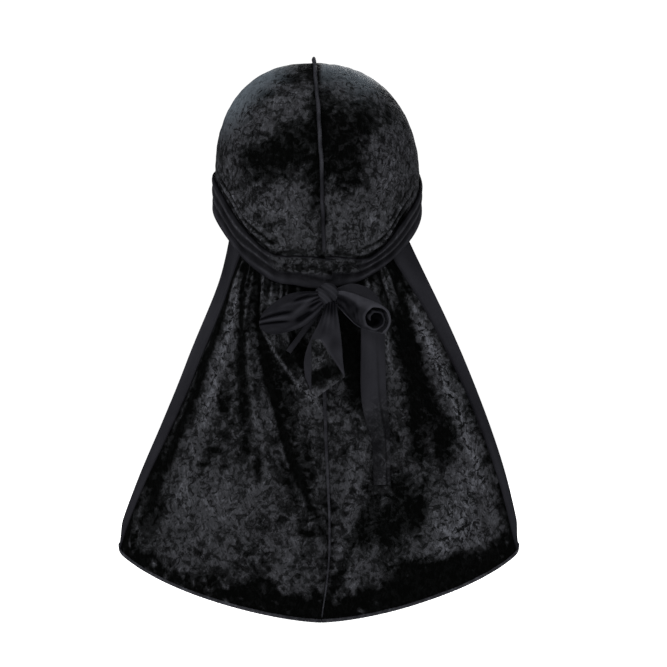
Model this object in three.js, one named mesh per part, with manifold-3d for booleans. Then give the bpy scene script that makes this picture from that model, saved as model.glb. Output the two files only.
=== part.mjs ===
// A long-caped velvet durag in its worn form, tied at the nape in a bow.
//
// Two velvet crown panels meet at a raised centre seam over the head. A smooth-faced strap is sewn along the
// brow and runs on from both temples, over the ears, to a knot at the nape. Below it hangs the cape: two
// velvet panels gathered under the strap, with a smooth facing down each side and a rolled hem.
//
// Millimetres, +Z up, +Y towards the brow. The origin is the inside of the crown's top, where the head bears.

import * as THREE from "three";
import { mergeVertices } from "three/addons/utils/BufferGeometryUtils.js";
import Module from "manifold-3d";

const wasm = await Module();
wasm.setup();

// ---- Driving dimensions ----

const VELVET = 1.6; // thickness of a velvet wall
const STRAP = 1.4; // thickness of the strap's doubled cloth
const GAP = 0.4; // clearance between neighbouring pieces
const RIM_GAP = 1; // between the crown's rim and the cape's top edge, under the strap

// The worn crown is a superellipsoid about the head's centre, narrower at the brow and leaning a little left.
const head = { halfWidth: 83, halfDepth: 98, rise: 95, drop: 120, roundness: 2.3, egg: 0.02, lean: -3.5 };
const HEAD_CENTRE_Z = VELVET - head.rise;

// Depth of the crown's rim below its top: a mean, then cosine waves of one to three turns round the head, so
// that the brow is high and the nape is low. The rim also rides higher over the left ear and at the nape.
const rimWaves = [119.6, -52, 7, -1.1];
const leftLift = { azimuth: -115, spread: 25, height: 7 };
const napeLift = { spread: 18, height: 5 };
const TEMPLE = 55; // degrees round from the brow, where the brow band becomes a strap
const BEHIND_EAR = 118; // degrees round from the brow, where the cape's side edge starts

const crownSeam = {
  height: 5.6,
  napeHeight: 1.6,
  width: 3.2,
  topShift: 0.8,
  napeShift: 5,
  from: 0.065,
  to: 0.95,
};
const strap = { fold: 1.2, cords: 3, lip: 0.8, reach: 7 };

// The strap round the head: how far it reaches below the rim, and its width, by degrees round from the brow.
// It is broad on the left, and drawn together behind the right ear.
const strapPlaces = [
  { at: -187, below: 4.5, width: 19 },
  { at: -172, below: 5.2, width: 21.5 },
  { at: -156, below: 7, width: 22 },
  { at: -140, below: 7.3, width: 27 },
  { at: -122, below: 6.2, width: 30.8 },
  { at: -100, below: 6, width: 30 },
  { at: -75, below: 6.5, width: 25 },
  { at: -50, below: 6.5, width: 25 },
  { at: 60, below: 6.5, width: 25 },
  { at: 116, below: 6.5, width: 27 },
  { at: 130, below: 6.5, width: 23.5 },
  { at: 142, below: 6.5, width: 17 },
  { at: 152, below: 6.5, width: 16 },
  { at: 162, below: 6.3, width: 20 },
  { at: 172, below: 5.5, width: 21.5 },
  { at: 183, below: 4.5, width: 19 },
];
const knot = { x: 8, y: -96.3, z: -188.5, halfWidth: 10.5, halfDepth: 8, halfHeight: 9, lay: 35 };

const cape = {
  halfWidth: 161,
  cornerZ: -385.5,
  hemDip: 55.5, // centre of the hem below its corners
  hemRound: 1.48, // exponent of the hem's curve
  backY: -112, // centre of the hem
  edgeForward: 52, // the side edges come this far forward of the centre at the hem
  shift: 1.6, // the hem's centre is a little to the right
  leftHang: 31, // how far the left edge hangs straight down before it flares
  rightHang: 15,
  sway: 12, // how far the right edge bows outwards
  leftDraw: 3.5, // how far the left edge is drawn in below the strap
  flank: 3, // both edges stand out a little above the hem
  seamDrift: 6, // the centre seam wanders to the right above the hem
  bulge: 3, // fullness just below the strap
  inset: 1, // the top edge is tucked in under the strap
  evenness: 0.55, // spaces the places down the cape evenly
};
const corner = { across: 0.84, down: 0.9, inset: 3.8 }; // where the hem's corners start to round off
const capeSeam = { width: 3, height: 1.8, from: 0.06 };
const gathers = { perSide: 6, depth: 1.3, from: 0.035, until: 0.3 };
const facing = { leftWidth: 18, rightWidth: 21, topReach: 92, hemReach: 168, thickness: 2 };
const hem = { height: 4.4, thickness: 3, capeLength: 250 };

// Folds of the cape. Places across run from -1 at the left edge over 0 at the seam to 1 at the right edge,
// and places down from 0 at the strap to 1 at the hem. Height is in millimetres, valleys below zero.
const folds = [
  { name: "left edge valley", top: -0.93, foot: -0.86, spread: 0.06, height: -3, from: 0.05, until: 0.8 },
  { name: "left edge ridge", top: -0.8, foot: -0.78, spread: 0.07, height: 3.5, from: 0.04, until: 0.75 },
  { name: "left long ridge", top: -0.8, foot: 0, spread: 0.085, height: 4.5, from: 0.05, until: 0.8 },
  { name: "left long valley", top: -0.64, foot: 0.2, spread: 0.08, height: -4, from: 0.06, until: 0.7 },
  { name: "left short ridge", top: -0.52, foot: 0.62, spread: 0.075, height: 4, from: 0.06, until: 0.5 },
  { name: "centre valley", top: 0.24, foot: 0.26, spread: 0.09, height: -4.5, from: 0.08, until: 0.5 },
  { name: "right inner ridge", top: 0.56, foot: 0.2, spread: 0.08, height: 3.5, from: 0.04, until: 0.5 },
  { name: "right valley", top: 0.62, foot: 0.7, spread: 0.08, height: -5, from: 0.1, until: 0.75 },
  { name: "right edge ridge", top: 0.76, foot: 0.95, spread: 0.08, height: 4, from: 0.08, until: 0.95 },
  { name: "right hem ridge", top: 0.75, foot: 0.08, spread: 0.09, height: 3, from: 0.6, until: 1.2 },
  { name: "right hem valley", top: 0.3, foot: 0.42, spread: 0.09, height: -3, from: 0.6, until: 1.2 },
  { name: "left hem wave", top: -0.3, foot: -0.5, spread: 0.16, height: 2.5, from: 0.55, until: 1.3 },
];

// The left loop, by distance out from the knot: half of its width, and the depth of its two layers.
const leftLoop = { length: 53, droop: 25.5, rootOffset: 4, layers: 7.5, pullIn: 0.17, crease: 1.2 };
const leftLoopWidths = [
  { at: 0, half: 5.5 },
  { at: 0.25, half: 10.5 },
  { at: 0.5, half: 13.6 },
  { at: 0.75, half: 13 },
  { at: 1, half: 10.5 },
];

// The right loop is a scroll, from its root in the knot to its open mouth. x, y and z are measured from the
// knot's centre; depth flattens the sections, turn swings them round to the back, and turns is how far the
// cloth is rolled.
const scroll = [
  { at: 0, x: 6, y: -1, z: -1, radius: 5, depth: 0.6, turn: 0, turns: 0.8 },
  { at: 0.25, x: 14, y: -3, z: -6, radius: 10.5, depth: 0.5, turn: 8, turns: 0.95 },
  { at: 0.5, x: 23, y: -6, z: -12, radius: 15.5, depth: 0.55, turn: 30, turns: 1.2 },
  { at: 0.75, x: 32, y: -9, z: -17, radius: 16, depth: 0.8, turn: 65, turns: 1.5 },
  { at: 1, x: 37, y: -16, z: -19, radius: 14.5, depth: 1, turn: 90, turns: 1.7 },
];
const scrollPitch = 0.34; // share of its radius that the scroll loses in a full turn
const scrollStart = -60; // degrees from the level to the cloth's outer edge

// The two tails, from the knot's centre. half is half of the width, and y is how far the cloth stands off.
const longTail = [
  { at: 0, x: 8, z: 1, half: 5, y: 4 },
  { at: 0.1, x: 21, z: 1, half: 8.5, y: 8 },
  { at: 0.2, x: 32.5, z: -7, half: 9.6, y: 13 },
  { at: 0.3, x: 35.5, z: -24, half: 9.2, y: 20 },
  { at: 0.55, x: 36.5, z: -75, half: 10.1, y: 20 },
  { at: 0.72, x: 39.6, z: -98, half: 9, y: 20 },
  { at: 0.8, x: 42, z: -111, half: 7.2, y: 20 },
  { at: 1, x: 43, z: -147, half: 6.6, y: 20 },
];
const shortTail = [
  { at: 0, x: 3.5, z: -5, half: 3.8, y: -4.5 },
  { at: 0.25, x: 2, z: -20, half: 7.5, y: -6 },
  { at: 0.5, x: -1, z: -36, half: 12.5, y: -8 },
  { at: 0.75, x: -2.5, z: -50, half: 15, y: -9 },
  { at: 1, x: -1.5, z: -63, half: 15.5, y: -8 },
];
const shortTailPoint = 17; // how far the slanting end's point hangs below its corners
const tuck = { fromX: -6, fromZ: -11, toX: -30, toZ: -44, width: 4.4, y: 2 };

// ---- Small helpers ----

const radians = THREE.MathUtils.degToRad;
const { clamp, lerp, smoothstep } = THREE.MathUtils;
const signedPower = (t, p) => Math.sign(t) * Math.abs(t) ** p;
const bell = (x) => Math.exp(-x * x);
const vector = (x, y, z) => new THREE.Vector3(x, y, z);

// The named columns of a table at a place between its rows, on a smooth curve through them.
function between(rows, at) {
  const last = rows.length - 1;
  const found = rows.findIndex((row) => row.at > at);
  const i = found < 0 ? last - 1 : Math.max(found - 1, 0);
  const [a, b] = [rows[i], rows[i + 1]];
  const [before, after] = [rows[Math.max(i - 1, 0)], rows[Math.min(i + 2, last)]];
  const span = b.at - a.at;
  const t = clamp((at - a.at) / span, 0, 1);
  const result = {};
  for (const column of Object.keys(a)) {
    const slopeA = ((b[column] - before[column]) / (b.at - before.at)) * span;
    const slopeB = ((after[column] - a[column]) / (after.at - a.at)) * span;
    result[column] =
      a[column] * (1 + 2 * t) * (1 - t) ** 2 +
      slopeA * t * (1 - t) ** 2 +
      b[column] * t * t * (3 - 2 * t) +
      slopeB * t * t * (t - 1);
  }
  return result;
}

// A closed wall: an outer and an inner face of (across + 1) x (down + 1) points each and four edges. With
// leaning set, each cell's diagonal runs the other way, along folds that slant towards the first column.
function wallGeometry(across, down, pointAt, leaning = false) {
  const columns = across + 1;
  const positions = [];
  for (const face of [0, 1])
    for (let j = 0; j <= down; j++)
      for (let i = 0; i < columns; i++) positions.push(...pointAt(i / across, j / down, face).toArray());
  const at = (i, j, face) => (face * (down + 1) + j) * columns + i;
  const triangles = [];
  const quad = (a, b, c, d) => triangles.push(a, b, c, a, c, d);
  for (let j = 0; j < down; j++)
    for (let i = 0; i < across; i++) {
      const outer = [at(i, j, 0), at(i + 1, j, 0), at(i + 1, j + 1, 0), at(i, j + 1, 0)];
      const inner = [at(i, j, 1), at(i, j + 1, 1), at(i + 1, j + 1, 1), at(i + 1, j, 1)];
      if (leaning) outer.push(outer.shift());
      if (leaning) inner.push(inner.shift());
      quad(...outer);
      quad(...inner);
    }
  for (let i = 0; i < across; i++) {
    quad(at(i, 0, 0), at(i, 0, 1), at(i + 1, 0, 1), at(i + 1, 0, 0));
    quad(at(i, down, 0), at(i + 1, down, 0), at(i + 1, down, 1), at(i, down, 1));
  }
  for (let j = 0; j < down; j++) {
    quad(at(0, j, 0), at(0, j + 1, 0), at(0, j + 1, 1), at(0, j, 1));
    quad(at(across, j, 0), at(across, j, 1), at(across, j + 1, 1), at(across, j + 1, 0));
  }
  return facingOut(positions, triangles);
}

// A closed tube: rings of points, with a fan of triangles over each end.
function tubeGeometry(around, along, pointAt) {
  const positions = [];
  for (let j = 0; j <= along; j++)
    for (let i = 0; i < around; i++) {
      const turn = (2 * Math.PI * i) / around;
      positions.push(...pointAt(turn, j / along).toArray());
    }
  const at = (i, j) => j * around + (i % around);
  const triangles = [];
  for (let j = 0; j < along; j++)
    for (let i = 0; i < around; i++) {
      triangles.push(at(i, j), at(i + 1, j), at(i + 1, j + 1));
      triangles.push(at(i, j), at(i + 1, j + 1), at(i, j + 1));
    }
  for (let i = 1; i < around - 1; i++) {
    triangles.push(at(0, 0), at(i + 1, 0), at(i, 0));
    triangles.push(at(0, along), at(i, along), at(i + 1, along));
  }
  return facingOut(positions, triangles);
}

// A geometry from points and triangles, turned round if its faces point inwards.
function facingOut(positions, triangles) {
  const corner = (index) => new THREE.Vector3().fromArray(positions, index * 3);
  let volume = 0;
  for (let t = 0; t < triangles.length; t += 3) {
    const [a, b, c] = triangles.slice(t, t + 3).map(corner);
    volume += a.dot(b.cross(c));
  }
  if (volume < 0) triangles.reverse();
  return new THREE.BufferGeometry()
    .setAttribute("position", new THREE.Float32BufferAttribute(positions, 3))
    .setIndex(triangles);
}

function solidOf(geometry) {
  const merged = mergeVertices(geometry, 1e-3);
  return new wasm.Manifold(
    new wasm.Mesh({
      numProp: 3,
      vertProperties: new Float32Array(merged.attributes.position.array),
      triVerts: new Uint32Array(merged.index.array),
    }),
  );
}

// The geometry with a tool cut away, and only its largest body kept.
function cutBy(geometry, tool) {
  const bodies = solidOf(geometry).subtract(solidOf(tool)).decompose();
  const mesh = bodies.sort((a, b) => b.volume() - a.volume())[0].getMesh();
  return new THREE.BufferGeometry()
    .setAttribute("position", new THREE.BufferAttribute(new Float32Array(mesh.vertProperties), 3))
    .setIndex(new THREE.BufferAttribute(new Uint32Array(mesh.triVerts), 1));
}

// ---- The worn crown's form ----

const semiZ = (rise) => (rise > 0 ? head.rise : head.drop);

// A point of the superellipsoid, given from the head's centre, becomes a point of the part: it is moved out
// along the surface's normal, narrowed towards the brow, leaned and placed at the head's height.
function placed(point, offset) {
  const slope = (value, semi) => signedPower(value / semi, head.roundness - 1) / semi;
  const normal = vector(
    slope(point.x, head.halfWidth),
    slope(point.y, head.halfDepth),
    slope(point.z, semiZ(point.z)),
  );
  const moved = point.clone().addScaledVector(normal.normalize(), offset);
  moved.x *= 1 - (head.egg * moved.y) / head.halfDepth;
  moved.x += head.lean * Math.max(0, point.z / head.rise) ** 1.5;
  moved.z += HEAD_CENTRE_Z;
  return moved;
}

// Where a ray from the head's centre meets the superellipsoid.
function alongRay(direction) {
  const reach =
    Math.abs(direction.x / head.halfWidth) ** head.roundness +
    Math.abs(direction.y / head.halfDepth) ** head.roundness +
    Math.abs(direction.z / semiZ(direction.z)) ** head.roundness;
  return direction.clone().multiplyScalar(reach ** (-1 / head.roundness));
}

// The superellipsoid's point at an azimuth (0 at the brow, 90 at the right ear) and a height of the part.
function atHeight(azimuth, z) {
  const rise = z - HEAD_CENTRE_Z;
  const shrink = (1 - Math.abs(rise / semiZ(rise)) ** head.roundness) ** (1 / head.roundness);
  const power = 2 / head.roundness;
  return vector(
    shrink * head.halfWidth * signedPower(Math.sin(radians(azimuth)), power),
    shrink * head.halfDepth * signedPower(Math.cos(radians(azimuth)), power),
    rise,
  );
}

function rimZ(azimuth) {
  const depth = rimWaves.reduce((sum, wave, turns) => sum + wave * Math.cos(turns * radians(azimuth)), 0);
  const left = leftLift.height * bell((azimuth - leftLift.azimuth) / leftLift.spread);
  return VELVET - depth + left + napeLift.height * bell((Math.abs(azimuth) - 180) / napeLift.spread);
}

const onRim = (azimuth) => atHeight(azimuth, rimZ(azimuth));

// The centre seam's line over the head, from the brow at 0 to the nape at 1.
function onSeam(along) {
  const brow = onRim(0);
  const nape = onRim(180);
  const turn = lerp(Math.atan2(brow.z, brow.y), Math.atan2(nape.z, nape.y) + 2 * Math.PI, along);
  const shift = lerp(crownSeam.topShift, crownSeam.napeShift, smoothstep(along, 0.4, 1));
  return alongRay(vector(shift / head.rise, Math.cos(turn), Math.sin(turn)));
}

// ---- Crown ----

// A point of one crown panel. across runs from the seam to the ear and down from the brow to the nape. The
// panel's four edges are blended as a Coons patch and the blend is pushed out onto the superellipsoid.
function crownPoint(side, across, down, offset) {
  const brow = (t) => (t === 0 ? onSeam(0) : onRim(side * t * TEMPLE));
  const nape = (t) => (t === 0 ? onSeam(1) : onRim(side * lerp(180, BEHIND_EAR, t)));
  const ear = (t) => onRim(side * lerp(TEMPLE, BEHIND_EAR, t));
  const blend = vector(0, 0, 0)
    .addScaledVector(brow(across), 1 - down)
    .addScaledVector(nape(across), down)
    .addScaledVector(onSeam(down), 1 - across)
    .addScaledVector(ear(down), across)
    .addScaledVector(brow(0), -(1 - across) * (1 - down))
    .addScaledVector(brow(1), -across * (1 - down))
    .addScaledVector(nape(0), -(1 - across) * down)
    .addScaledVector(nape(1), -across * down);
  return placed(alongRay(blend), offset);
}

function crownPanel(side) {
  return wallGeometry(10, 21, (across, down, face) => {
    const point = crownPoint(side, across, down, face ? -VELVET : 0);
    if (across === 0) point.x += (side * GAP) / 2;
    return point;
  });
}

// The seam's two cut edges are turned outwards and stand up as a rounded ridge along the crown.
function crownSeamRidge() {
  return tubeGeometry(6, 28, (turn, along) => {
    const line = onSeam(lerp(crownSeam.from, crownSeam.to, along));
    const foot = placed(line, GAP);
    const out = placed(line, GAP + 1).sub(foot).normalize();
    const pressed = smoothstep(along, 0.7, 1) + 1 - smoothstep(along, 0, 0.06);
    const height = lerp(crownSeam.height, crownSeam.napeHeight, pressed);
    foot.x += (crownSeam.width / 2) * Math.cos(turn);
    return foot.addScaledVector(out, (height / 2) * (1 + Math.sin(turn)));
  });
}

// ---- Strap ----

// A point of the strap on the crown's outside. Below the rim it hangs straight, over the cape's top edge.
function strapPoint(azimuth, across, offset) {
  const round = Math.abs(azimuth);
  const row = between(strapPlaces, azimuth);
  const z = rimZ(azimuth) - row.below + across * row.width;
  const cords = 0.5 - 0.5 * Math.cos(2 * Math.PI * strap.cords * across);
  const fold = strap.fold * cords * smoothstep(round, TEMPLE, 130);
  const lip = strap.lip * smoothstep(rimZ(azimuth) - z, 0, 6);
  const reach = strap.reach * smoothstep(round, 165, 180) * (1 - across);
  const away = GAP + 0.1 + lip + reach + fold + offset;
  const point = placed(atHeight(azimuth, Math.max(z, rimZ(azimuth))), away);
  point.z += Math.min(0, z - rimZ(azimuth));
  return point;
}

function strapWall(acrossSteps, steps, from, to) {
  return wallGeometry(acrossSteps, steps, (across, along, face) =>
    strapPoint(lerp(from, to, along), across, face ? 0 : STRAP),
  );
}

// ---- Cape ----

// The cape's smooth form without folds. Each line down it starts at the rim, hangs and flares to the hem.
function capeForm(across, down) {
  const side = Math.sign(across) || 1;
  const top = placed(onRim(side * lerp(180, BEHIND_EAR, Math.abs(across))), -cape.inset);
  top.z -= RIM_GAP;
  const turn = (Math.PI / 2) * across;
  const power = 2 / cape.hemRound;
  const spread = signedPower(Math.sin(turn), power);
  const foot = vector(
    cape.shift + cape.halfWidth * spread,
    cape.backY + cape.edgeForward * spread * spread,
    cape.cornerZ - cape.hemDip * Math.max(0, Math.cos(turn)) ** power,
  );
  const hanging = top.clone();
  hanging.z -= lerp(cape.leftHang, cape.rightHang, smoothstep(across, -1, 1));
  const flare = hanging.clone().lerp(foot, 0.36);
  const evenly = down * (1 + cape.evenness * (1 - down));
  const point = new THREE.CubicBezierCurve3(top, hanging, flare, foot).getPoint(evenly);
  point.x += cape.sway * ((1 + across) / 2) * Math.abs(Math.sin(Math.PI * down)) ** 1.6;
  point.x += (cape.flank * spread + cape.seamDrift * (1 - across * across) ** 3) * bell((down - 0.8) / 0.2);
  point.x += cape.leftDraw * smoothstep(-across, 0.5, 1) * (1 - smoothstep(down, 0.2, 0.45));
  const roundOff = smoothstep(Math.abs(across), corner.across, 1) * smoothstep(down, corner.down, 1);
  point.x -= corner.inset * side * roundOff;
  return point;
}

// Height of the folds, gathers and bulge above the smooth form.
function capeRelief(across, down) {
  const middle = 1 - across * across;
  let height = cape.bulge * middle * smoothstep(down, 0.04, 0.16) * (1 - smoothstep(down, 0.2, 0.6));
  for (const fold of folds) {
    const centre = lerp(fold.top, fold.foot, down);
    const length = fold.until - fold.from;
    const grow = smoothstep(down, fold.from, fold.from + 0.25 * length);
    const fade = 1 - smoothstep(down, fold.until - 0.5 * length, fold.until);
    height += fold.height * bell((across - centre) / fold.spread) * grow * fade;
  }
  const pleats = 0.5 + 0.5 * Math.cos(2 * Math.PI * gathers.perSide * across);
  const pleating = smoothstep(down, gathers.from, 0.09) * (1 - smoothstep(down, 0.1, gathers.until));
  return height + gathers.depth * pleats * pleating;
}

function capePoint(across, down, offset) {
  const step = 1e-3;
  const point = capeForm(across, down);
  const inward = Math.abs(across) > 0.5 ? -Math.sign(across) * step : step;
  const upward = down > 0.5 ? -step : step;
  const alongAcross = capeForm(across + inward, down).sub(point).multiplyScalar(Math.sign(inward));
  const alongDown = capeForm(across, down + upward).sub(point).multiplyScalar(Math.sign(upward));
  const normal = alongDown.cross(alongAcross).normalize();
  return point.addScaledVector(normal, capeRelief(across, down) + offset);
}

// The cape's point at a given x and z, found by turns in both directions.
function capeAt(x, z) {
  let across = x / cape.halfWidth;
  let down = 0.3;
  for (let turn = 0; turn < 40; turn++) {
    const here = capePoint(across, down, 0);
    down = clamp(down + (here.z - z) / 300, 0, 1);
    across = clamp(across + (x - here.x) / cape.halfWidth, -1, 1);
  }
  return capePoint(across, down, 0);
}

// Where the velvet stops and the facing starts, at a place down the cape.
function facingStart(side, down) {
  const width = side < 0 ? facing.leftWidth : facing.rightWidth;
  return 1 - width / lerp(facing.topReach, facing.hemReach, smoothstep(down, 0, 0.9));
}

const HEM_DOWN = 1 - hem.height / hem.capeLength;
const HEM_MIDDLE = (1 + HEM_DOWN) / 2;

function capePanel(side) {
  const pointAt = (acrossShare, downShare, face) => {
    const down = downShare * HEM_DOWN;
    const across = side * acrossShare * facingStart(side, down);
    const point = capePoint(across, down, face ? -VELVET : 0);
    if (acrossShare === 0) point.x += (side * GAP) / 2;
    return point;
  };
  return wallGeometry(24, 18, pointAt, true);
}

function facingWall(side) {
  return wallGeometry(2, 18, (acrossShare, downShare, face) => {
    const down = downShare * (HEM_DOWN - GAP / 300);
    const start = facingStart(side, down) + GAP / 70;
    const roll = acrossShare === 0.5 ? 0.5 : 0.36; // thinner towards its edges
    const offset = -VELVET / 2 + (face ? -roll : roll) * facing.thickness;
    return capePoint(side * lerp(start, 1, acrossShare), down, offset);
  });
}

// The hem is rolled: an oval tube under the velvet's lower edge.
function hemRoll(side) {
  const clearance = (2.6 * GAP) / hem.capeLength;
  return tubeGeometry(6, 22, (turn, along) => {
    const down = HEM_MIDDLE + clearance / 2 + (HEM_MIDDLE - HEM_DOWN - clearance / 2) * Math.cos(turn);
    const offset = -VELVET / 2 + (hem.thickness / 2) * Math.sin(turn);
    const point = capePoint(side * along, down, offset);
    if (along === 0) point.x += (side * GAP) / 2;
    return point;
  });
}

// The cape's centre seam stands up less than the crown's.
function capeSeamRidge() {
  return tubeGeometry(6, 20, (turn, along) => {
    const down = lerp(capeSeam.from, HEM_DOWN, along);
    const halfReach = lerp(facing.topReach, facing.hemReach, down);
    const across = ((capeSeam.width / 2) * Math.cos(turn)) / halfReach;
    return capePoint(across, down, GAP + (capeSeam.height / 2) * (1 + Math.sin(turn)));
  });
}

// ---- Bow ----

const KNOT_CENTRE = vector(knot.x, knot.y, knot.z);

// The knot is a tight ball with two shallow slanting wraps.
function knotGeometry(grow) {
  const ball = new THREE.SphereGeometry(1, 16, 12).deleteAttribute("normal").deleteAttribute("uv");
  const position = ball.getAttribute("position");
  for (let i = 0; i < position.count; i++) {
    const point = new THREE.Vector3().fromBufferAttribute(position, i);
    const wraps = 1 + 0.05 * Math.cos(9 * point.x) * (1 - point.y * point.y);
    point.multiplyScalar(wraps);
    point.multiply(vector(knot.halfWidth + grow, knot.halfDepth + grow, knot.halfHeight + grow));
    position.setXYZ(i, point.x, point.y, point.z);
  }
  return mergeVertices(ball.rotateY(radians(knot.lay)).translate(knot.x, knot.y, knot.z), 1e-3);
}

// The left loop: a ribbon out from the knot, round and back behind itself, gathered where the knot holds it.
function leftLoopRibbon() {
  const droop = radians(leftLoop.droop);
  const out = vector(-Math.cos(droop), 0, -Math.sin(droop));
  const up = vector(-Math.sin(droop), 0, Math.cos(droop));
  const middle = (along) => {
    const turn = 2 * Math.PI * along;
    const depth = -leftLoop.layers * Math.sin(turn) - 2.2 * Math.cos(turn / 2);
    return [(1 - Math.cos(turn)) / 2, depth];
  };
  return wallGeometry(6, 22, (across, along, face) => {
    const q = 2 * across - 1;
    const [away, depth] = middle(along);
    const [awayAfter, depthAfter] = middle(along + 1e-3);
    const normal = out
      .clone()
      .multiplyScalar(-(depthAfter - depth))
      .add(vector(0, leftLoop.length * (awayAfter - away), 0))
      .normalize();
    const reach = leftLoop.rootOffset + leftLoop.length * away * (1 - leftLoop.pullIn * q * q);
    const crease = leftLoop.crease * Math.cos(2.6 * Math.PI * q + 0.6);
    return KNOT_CENTRE.clone()
      .addScaledVector(out, reach)
      .addScaledVector(up, q * between(leftLoopWidths, away).half)
      .add(vector(0, depth + crease, 0))
      .addScaledVector(normal, (face ? 0.5 : -0.5) * STRAP);
  });
}

// The right loop: cloth rolled into a scroll that widens from the knot and opens to the back.
function rightLoopScroll() {
  return wallGeometry(24, 9, (across, along, face) => {
    const row = between(scroll, along);
    const turned = row.turns * across;
    const turn = radians(scrollStart) + 2 * Math.PI * turned;
    const radius = row.radius * (1 - scrollPitch * turned) - (face ? STRAP : 0);
    const swing = radians(row.turn);
    return KNOT_CENTRE.clone()
      .add(vector(row.x, row.y, row.z))
      .addScaledVector(vector(0, 0, 1), radius * Math.sin(turn))
      .addScaledVector(vector(Math.sin(swing), Math.cos(swing), 0), row.depth * radius * Math.cos(turn));
  });
}

// A tail's point: rows give its line, and q runs from one edge at -1 to the other at 1.
function tailPoint(rows, along, q) {
  const row = between(rows, along);
  const before = between(rows, Math.max(along - 0.01, 0));
  const after = between(rows, Math.min(along + 0.01, 1));
  const heading = new THREE.Vector2(after.x - before.x, after.z - before.z).normalize();
  const x = knot.x + row.x - heading.y * row.half * q;
  const z = knot.z + row.z + heading.x * row.half * q;
  return vector(x, row.y, z);
}

// The long tail passes behind the right loop and hangs down the cape, narrower below.
function longTailRibbon() {
  return wallGeometry(3, 23, (across, along, face) => {
    const point = tailPoint(longTail, along, 1 - 2 * across);
    const resting = capeAt(point.x, point.z).y - GAP - 1;
    point.y = Math.min(knot.y + point.y, resting) - (face ? 0 : STRAP);
    return point;
  });
}

// The short tail drops from the knot, widens and ends in a slanting cut with a point.
function shortTailRibbon() {
  return wallGeometry(4, 10, (across, along, face) => {
    const q = 1 - 2 * across;
    const row = between(shortTail, along);
    const place = -q; // -1 at the left edge
    const peak = place < -0.5 ? (place + 1) / 0.5 : (1 - place) / 1.5;
    return vector(
      knot.x + row.x + place * row.half,
      knot.y + row.y - 1.2 * Math.cos(2 * place) - (face ? 0 : STRAP),
      knot.z + row.z - shortTailPoint * peak * along ** 3,
    );
  });
}

// A narrow tuck of the strap that shows below the left loop.
function tuckRibbon() {
  return wallGeometry(1, 6, (across, along, face) => {
    const heading = new THREE.Vector2(tuck.toX - tuck.fromX, tuck.toZ - tuck.fromZ).normalize();
    const q = (across - 0.5) * tuck.width;
    const x = knot.x + lerp(tuck.fromX, tuck.toX, along) - heading.y * q;
    const z = knot.z + lerp(tuck.fromZ, tuck.toZ, along) + heading.x * q;
    const resting = capeAt(x, z).y - GAP - 0.6;
    return vector(x, Math.min(knot.y + tuck.y + 6 * along, resting) - (face ? 0 : STRAP), z);
  });
}

// ---- Assembly ----

const velvet = () => new THREE.MeshStandardMaterial({ color: 0x15161a, roughness: 0.75, metalness: 0 });
const satin = () => new THREE.MeshStandardMaterial({ color: 0x222227, roughness: 0.6, metalness: 0 });

const durag = new THREE.Group();

function addPiece(name, geometry, material) {
  const mesh = new THREE.Mesh(geometry, material);
  mesh.name = name;
  durag.add(mesh);
}

const knotHole = knotGeometry(GAP);

for (const [name, side, strapEnd] of [
  ["left", -1, -182.5],
  ["right", 1, 176.5],
]) {
  addPiece("crown_panel_" + name, crownPanel(side), velvet());
  addPiece("cape_panel_" + name, capePanel(side), velvet());
  addPiece("cape_facing_" + name, facingWall(side), satin());
  addPiece("cape_hem_" + name, hemRoll(side), velvet());
  const wall = strapWall(6, 24, side * (TEMPLE + 0.3), strapEnd);
  addPiece("strap_" + name, cutBy(wall, knotHole), satin());
}
addPiece("brow_band", strapWall(3, 18, -TEMPLE, TEMPLE), satin());
addPiece("crown_seam", crownSeamRidge(), velvet());
addPiece("cape_seam", capeSeamRidge(), velvet());
addPiece("knot", knotGeometry(0), satin());
addPiece("bow_loop_left", cutBy(leftLoopRibbon(), knotHole), satin());
addPiece("bow_loop_right", cutBy(rightLoopScroll(), knotHole), satin());
addPiece("tail_long", cutBy(longTailRibbon(), knotHole), satin());
addPiece("tail_short", cutBy(shortTailRibbon(), knotHole), satin());
addPiece("strap_tuck", cutBy(tuckRibbon(), knotHole), satin());

export default durag;
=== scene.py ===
"""A long-caped velvet durag, tied at the nape in a bow: its cloth, seams, stitches and a plain studio.

All shapes are worked out in millimetres, +Z up and +Y towards the brow, and put into the meshes in metres.
"""

import math

import bpy
import numpy as np
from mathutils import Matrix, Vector


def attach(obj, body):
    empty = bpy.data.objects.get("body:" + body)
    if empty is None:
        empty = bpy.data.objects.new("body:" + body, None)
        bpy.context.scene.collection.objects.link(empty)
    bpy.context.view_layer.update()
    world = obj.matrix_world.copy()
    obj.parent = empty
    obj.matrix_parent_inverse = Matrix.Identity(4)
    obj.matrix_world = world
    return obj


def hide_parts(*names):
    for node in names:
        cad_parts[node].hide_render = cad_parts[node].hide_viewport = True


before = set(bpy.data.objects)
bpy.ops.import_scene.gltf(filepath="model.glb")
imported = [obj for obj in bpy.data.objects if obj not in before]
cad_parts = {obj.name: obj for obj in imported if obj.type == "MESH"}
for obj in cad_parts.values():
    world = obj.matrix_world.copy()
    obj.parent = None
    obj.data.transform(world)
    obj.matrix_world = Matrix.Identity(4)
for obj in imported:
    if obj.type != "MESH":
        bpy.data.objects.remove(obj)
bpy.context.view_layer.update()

bl_info = {
    "name": "Velvet Durag",
    "version": (1, 0, 0),
    "blender": (4, 5, 0),
    "location": "3D View > Sidebar > Durag",
    "description": "Builds a worn velvet durag with its cape, tied strap and stitching",
    "category": "Add Mesh",
}

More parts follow.
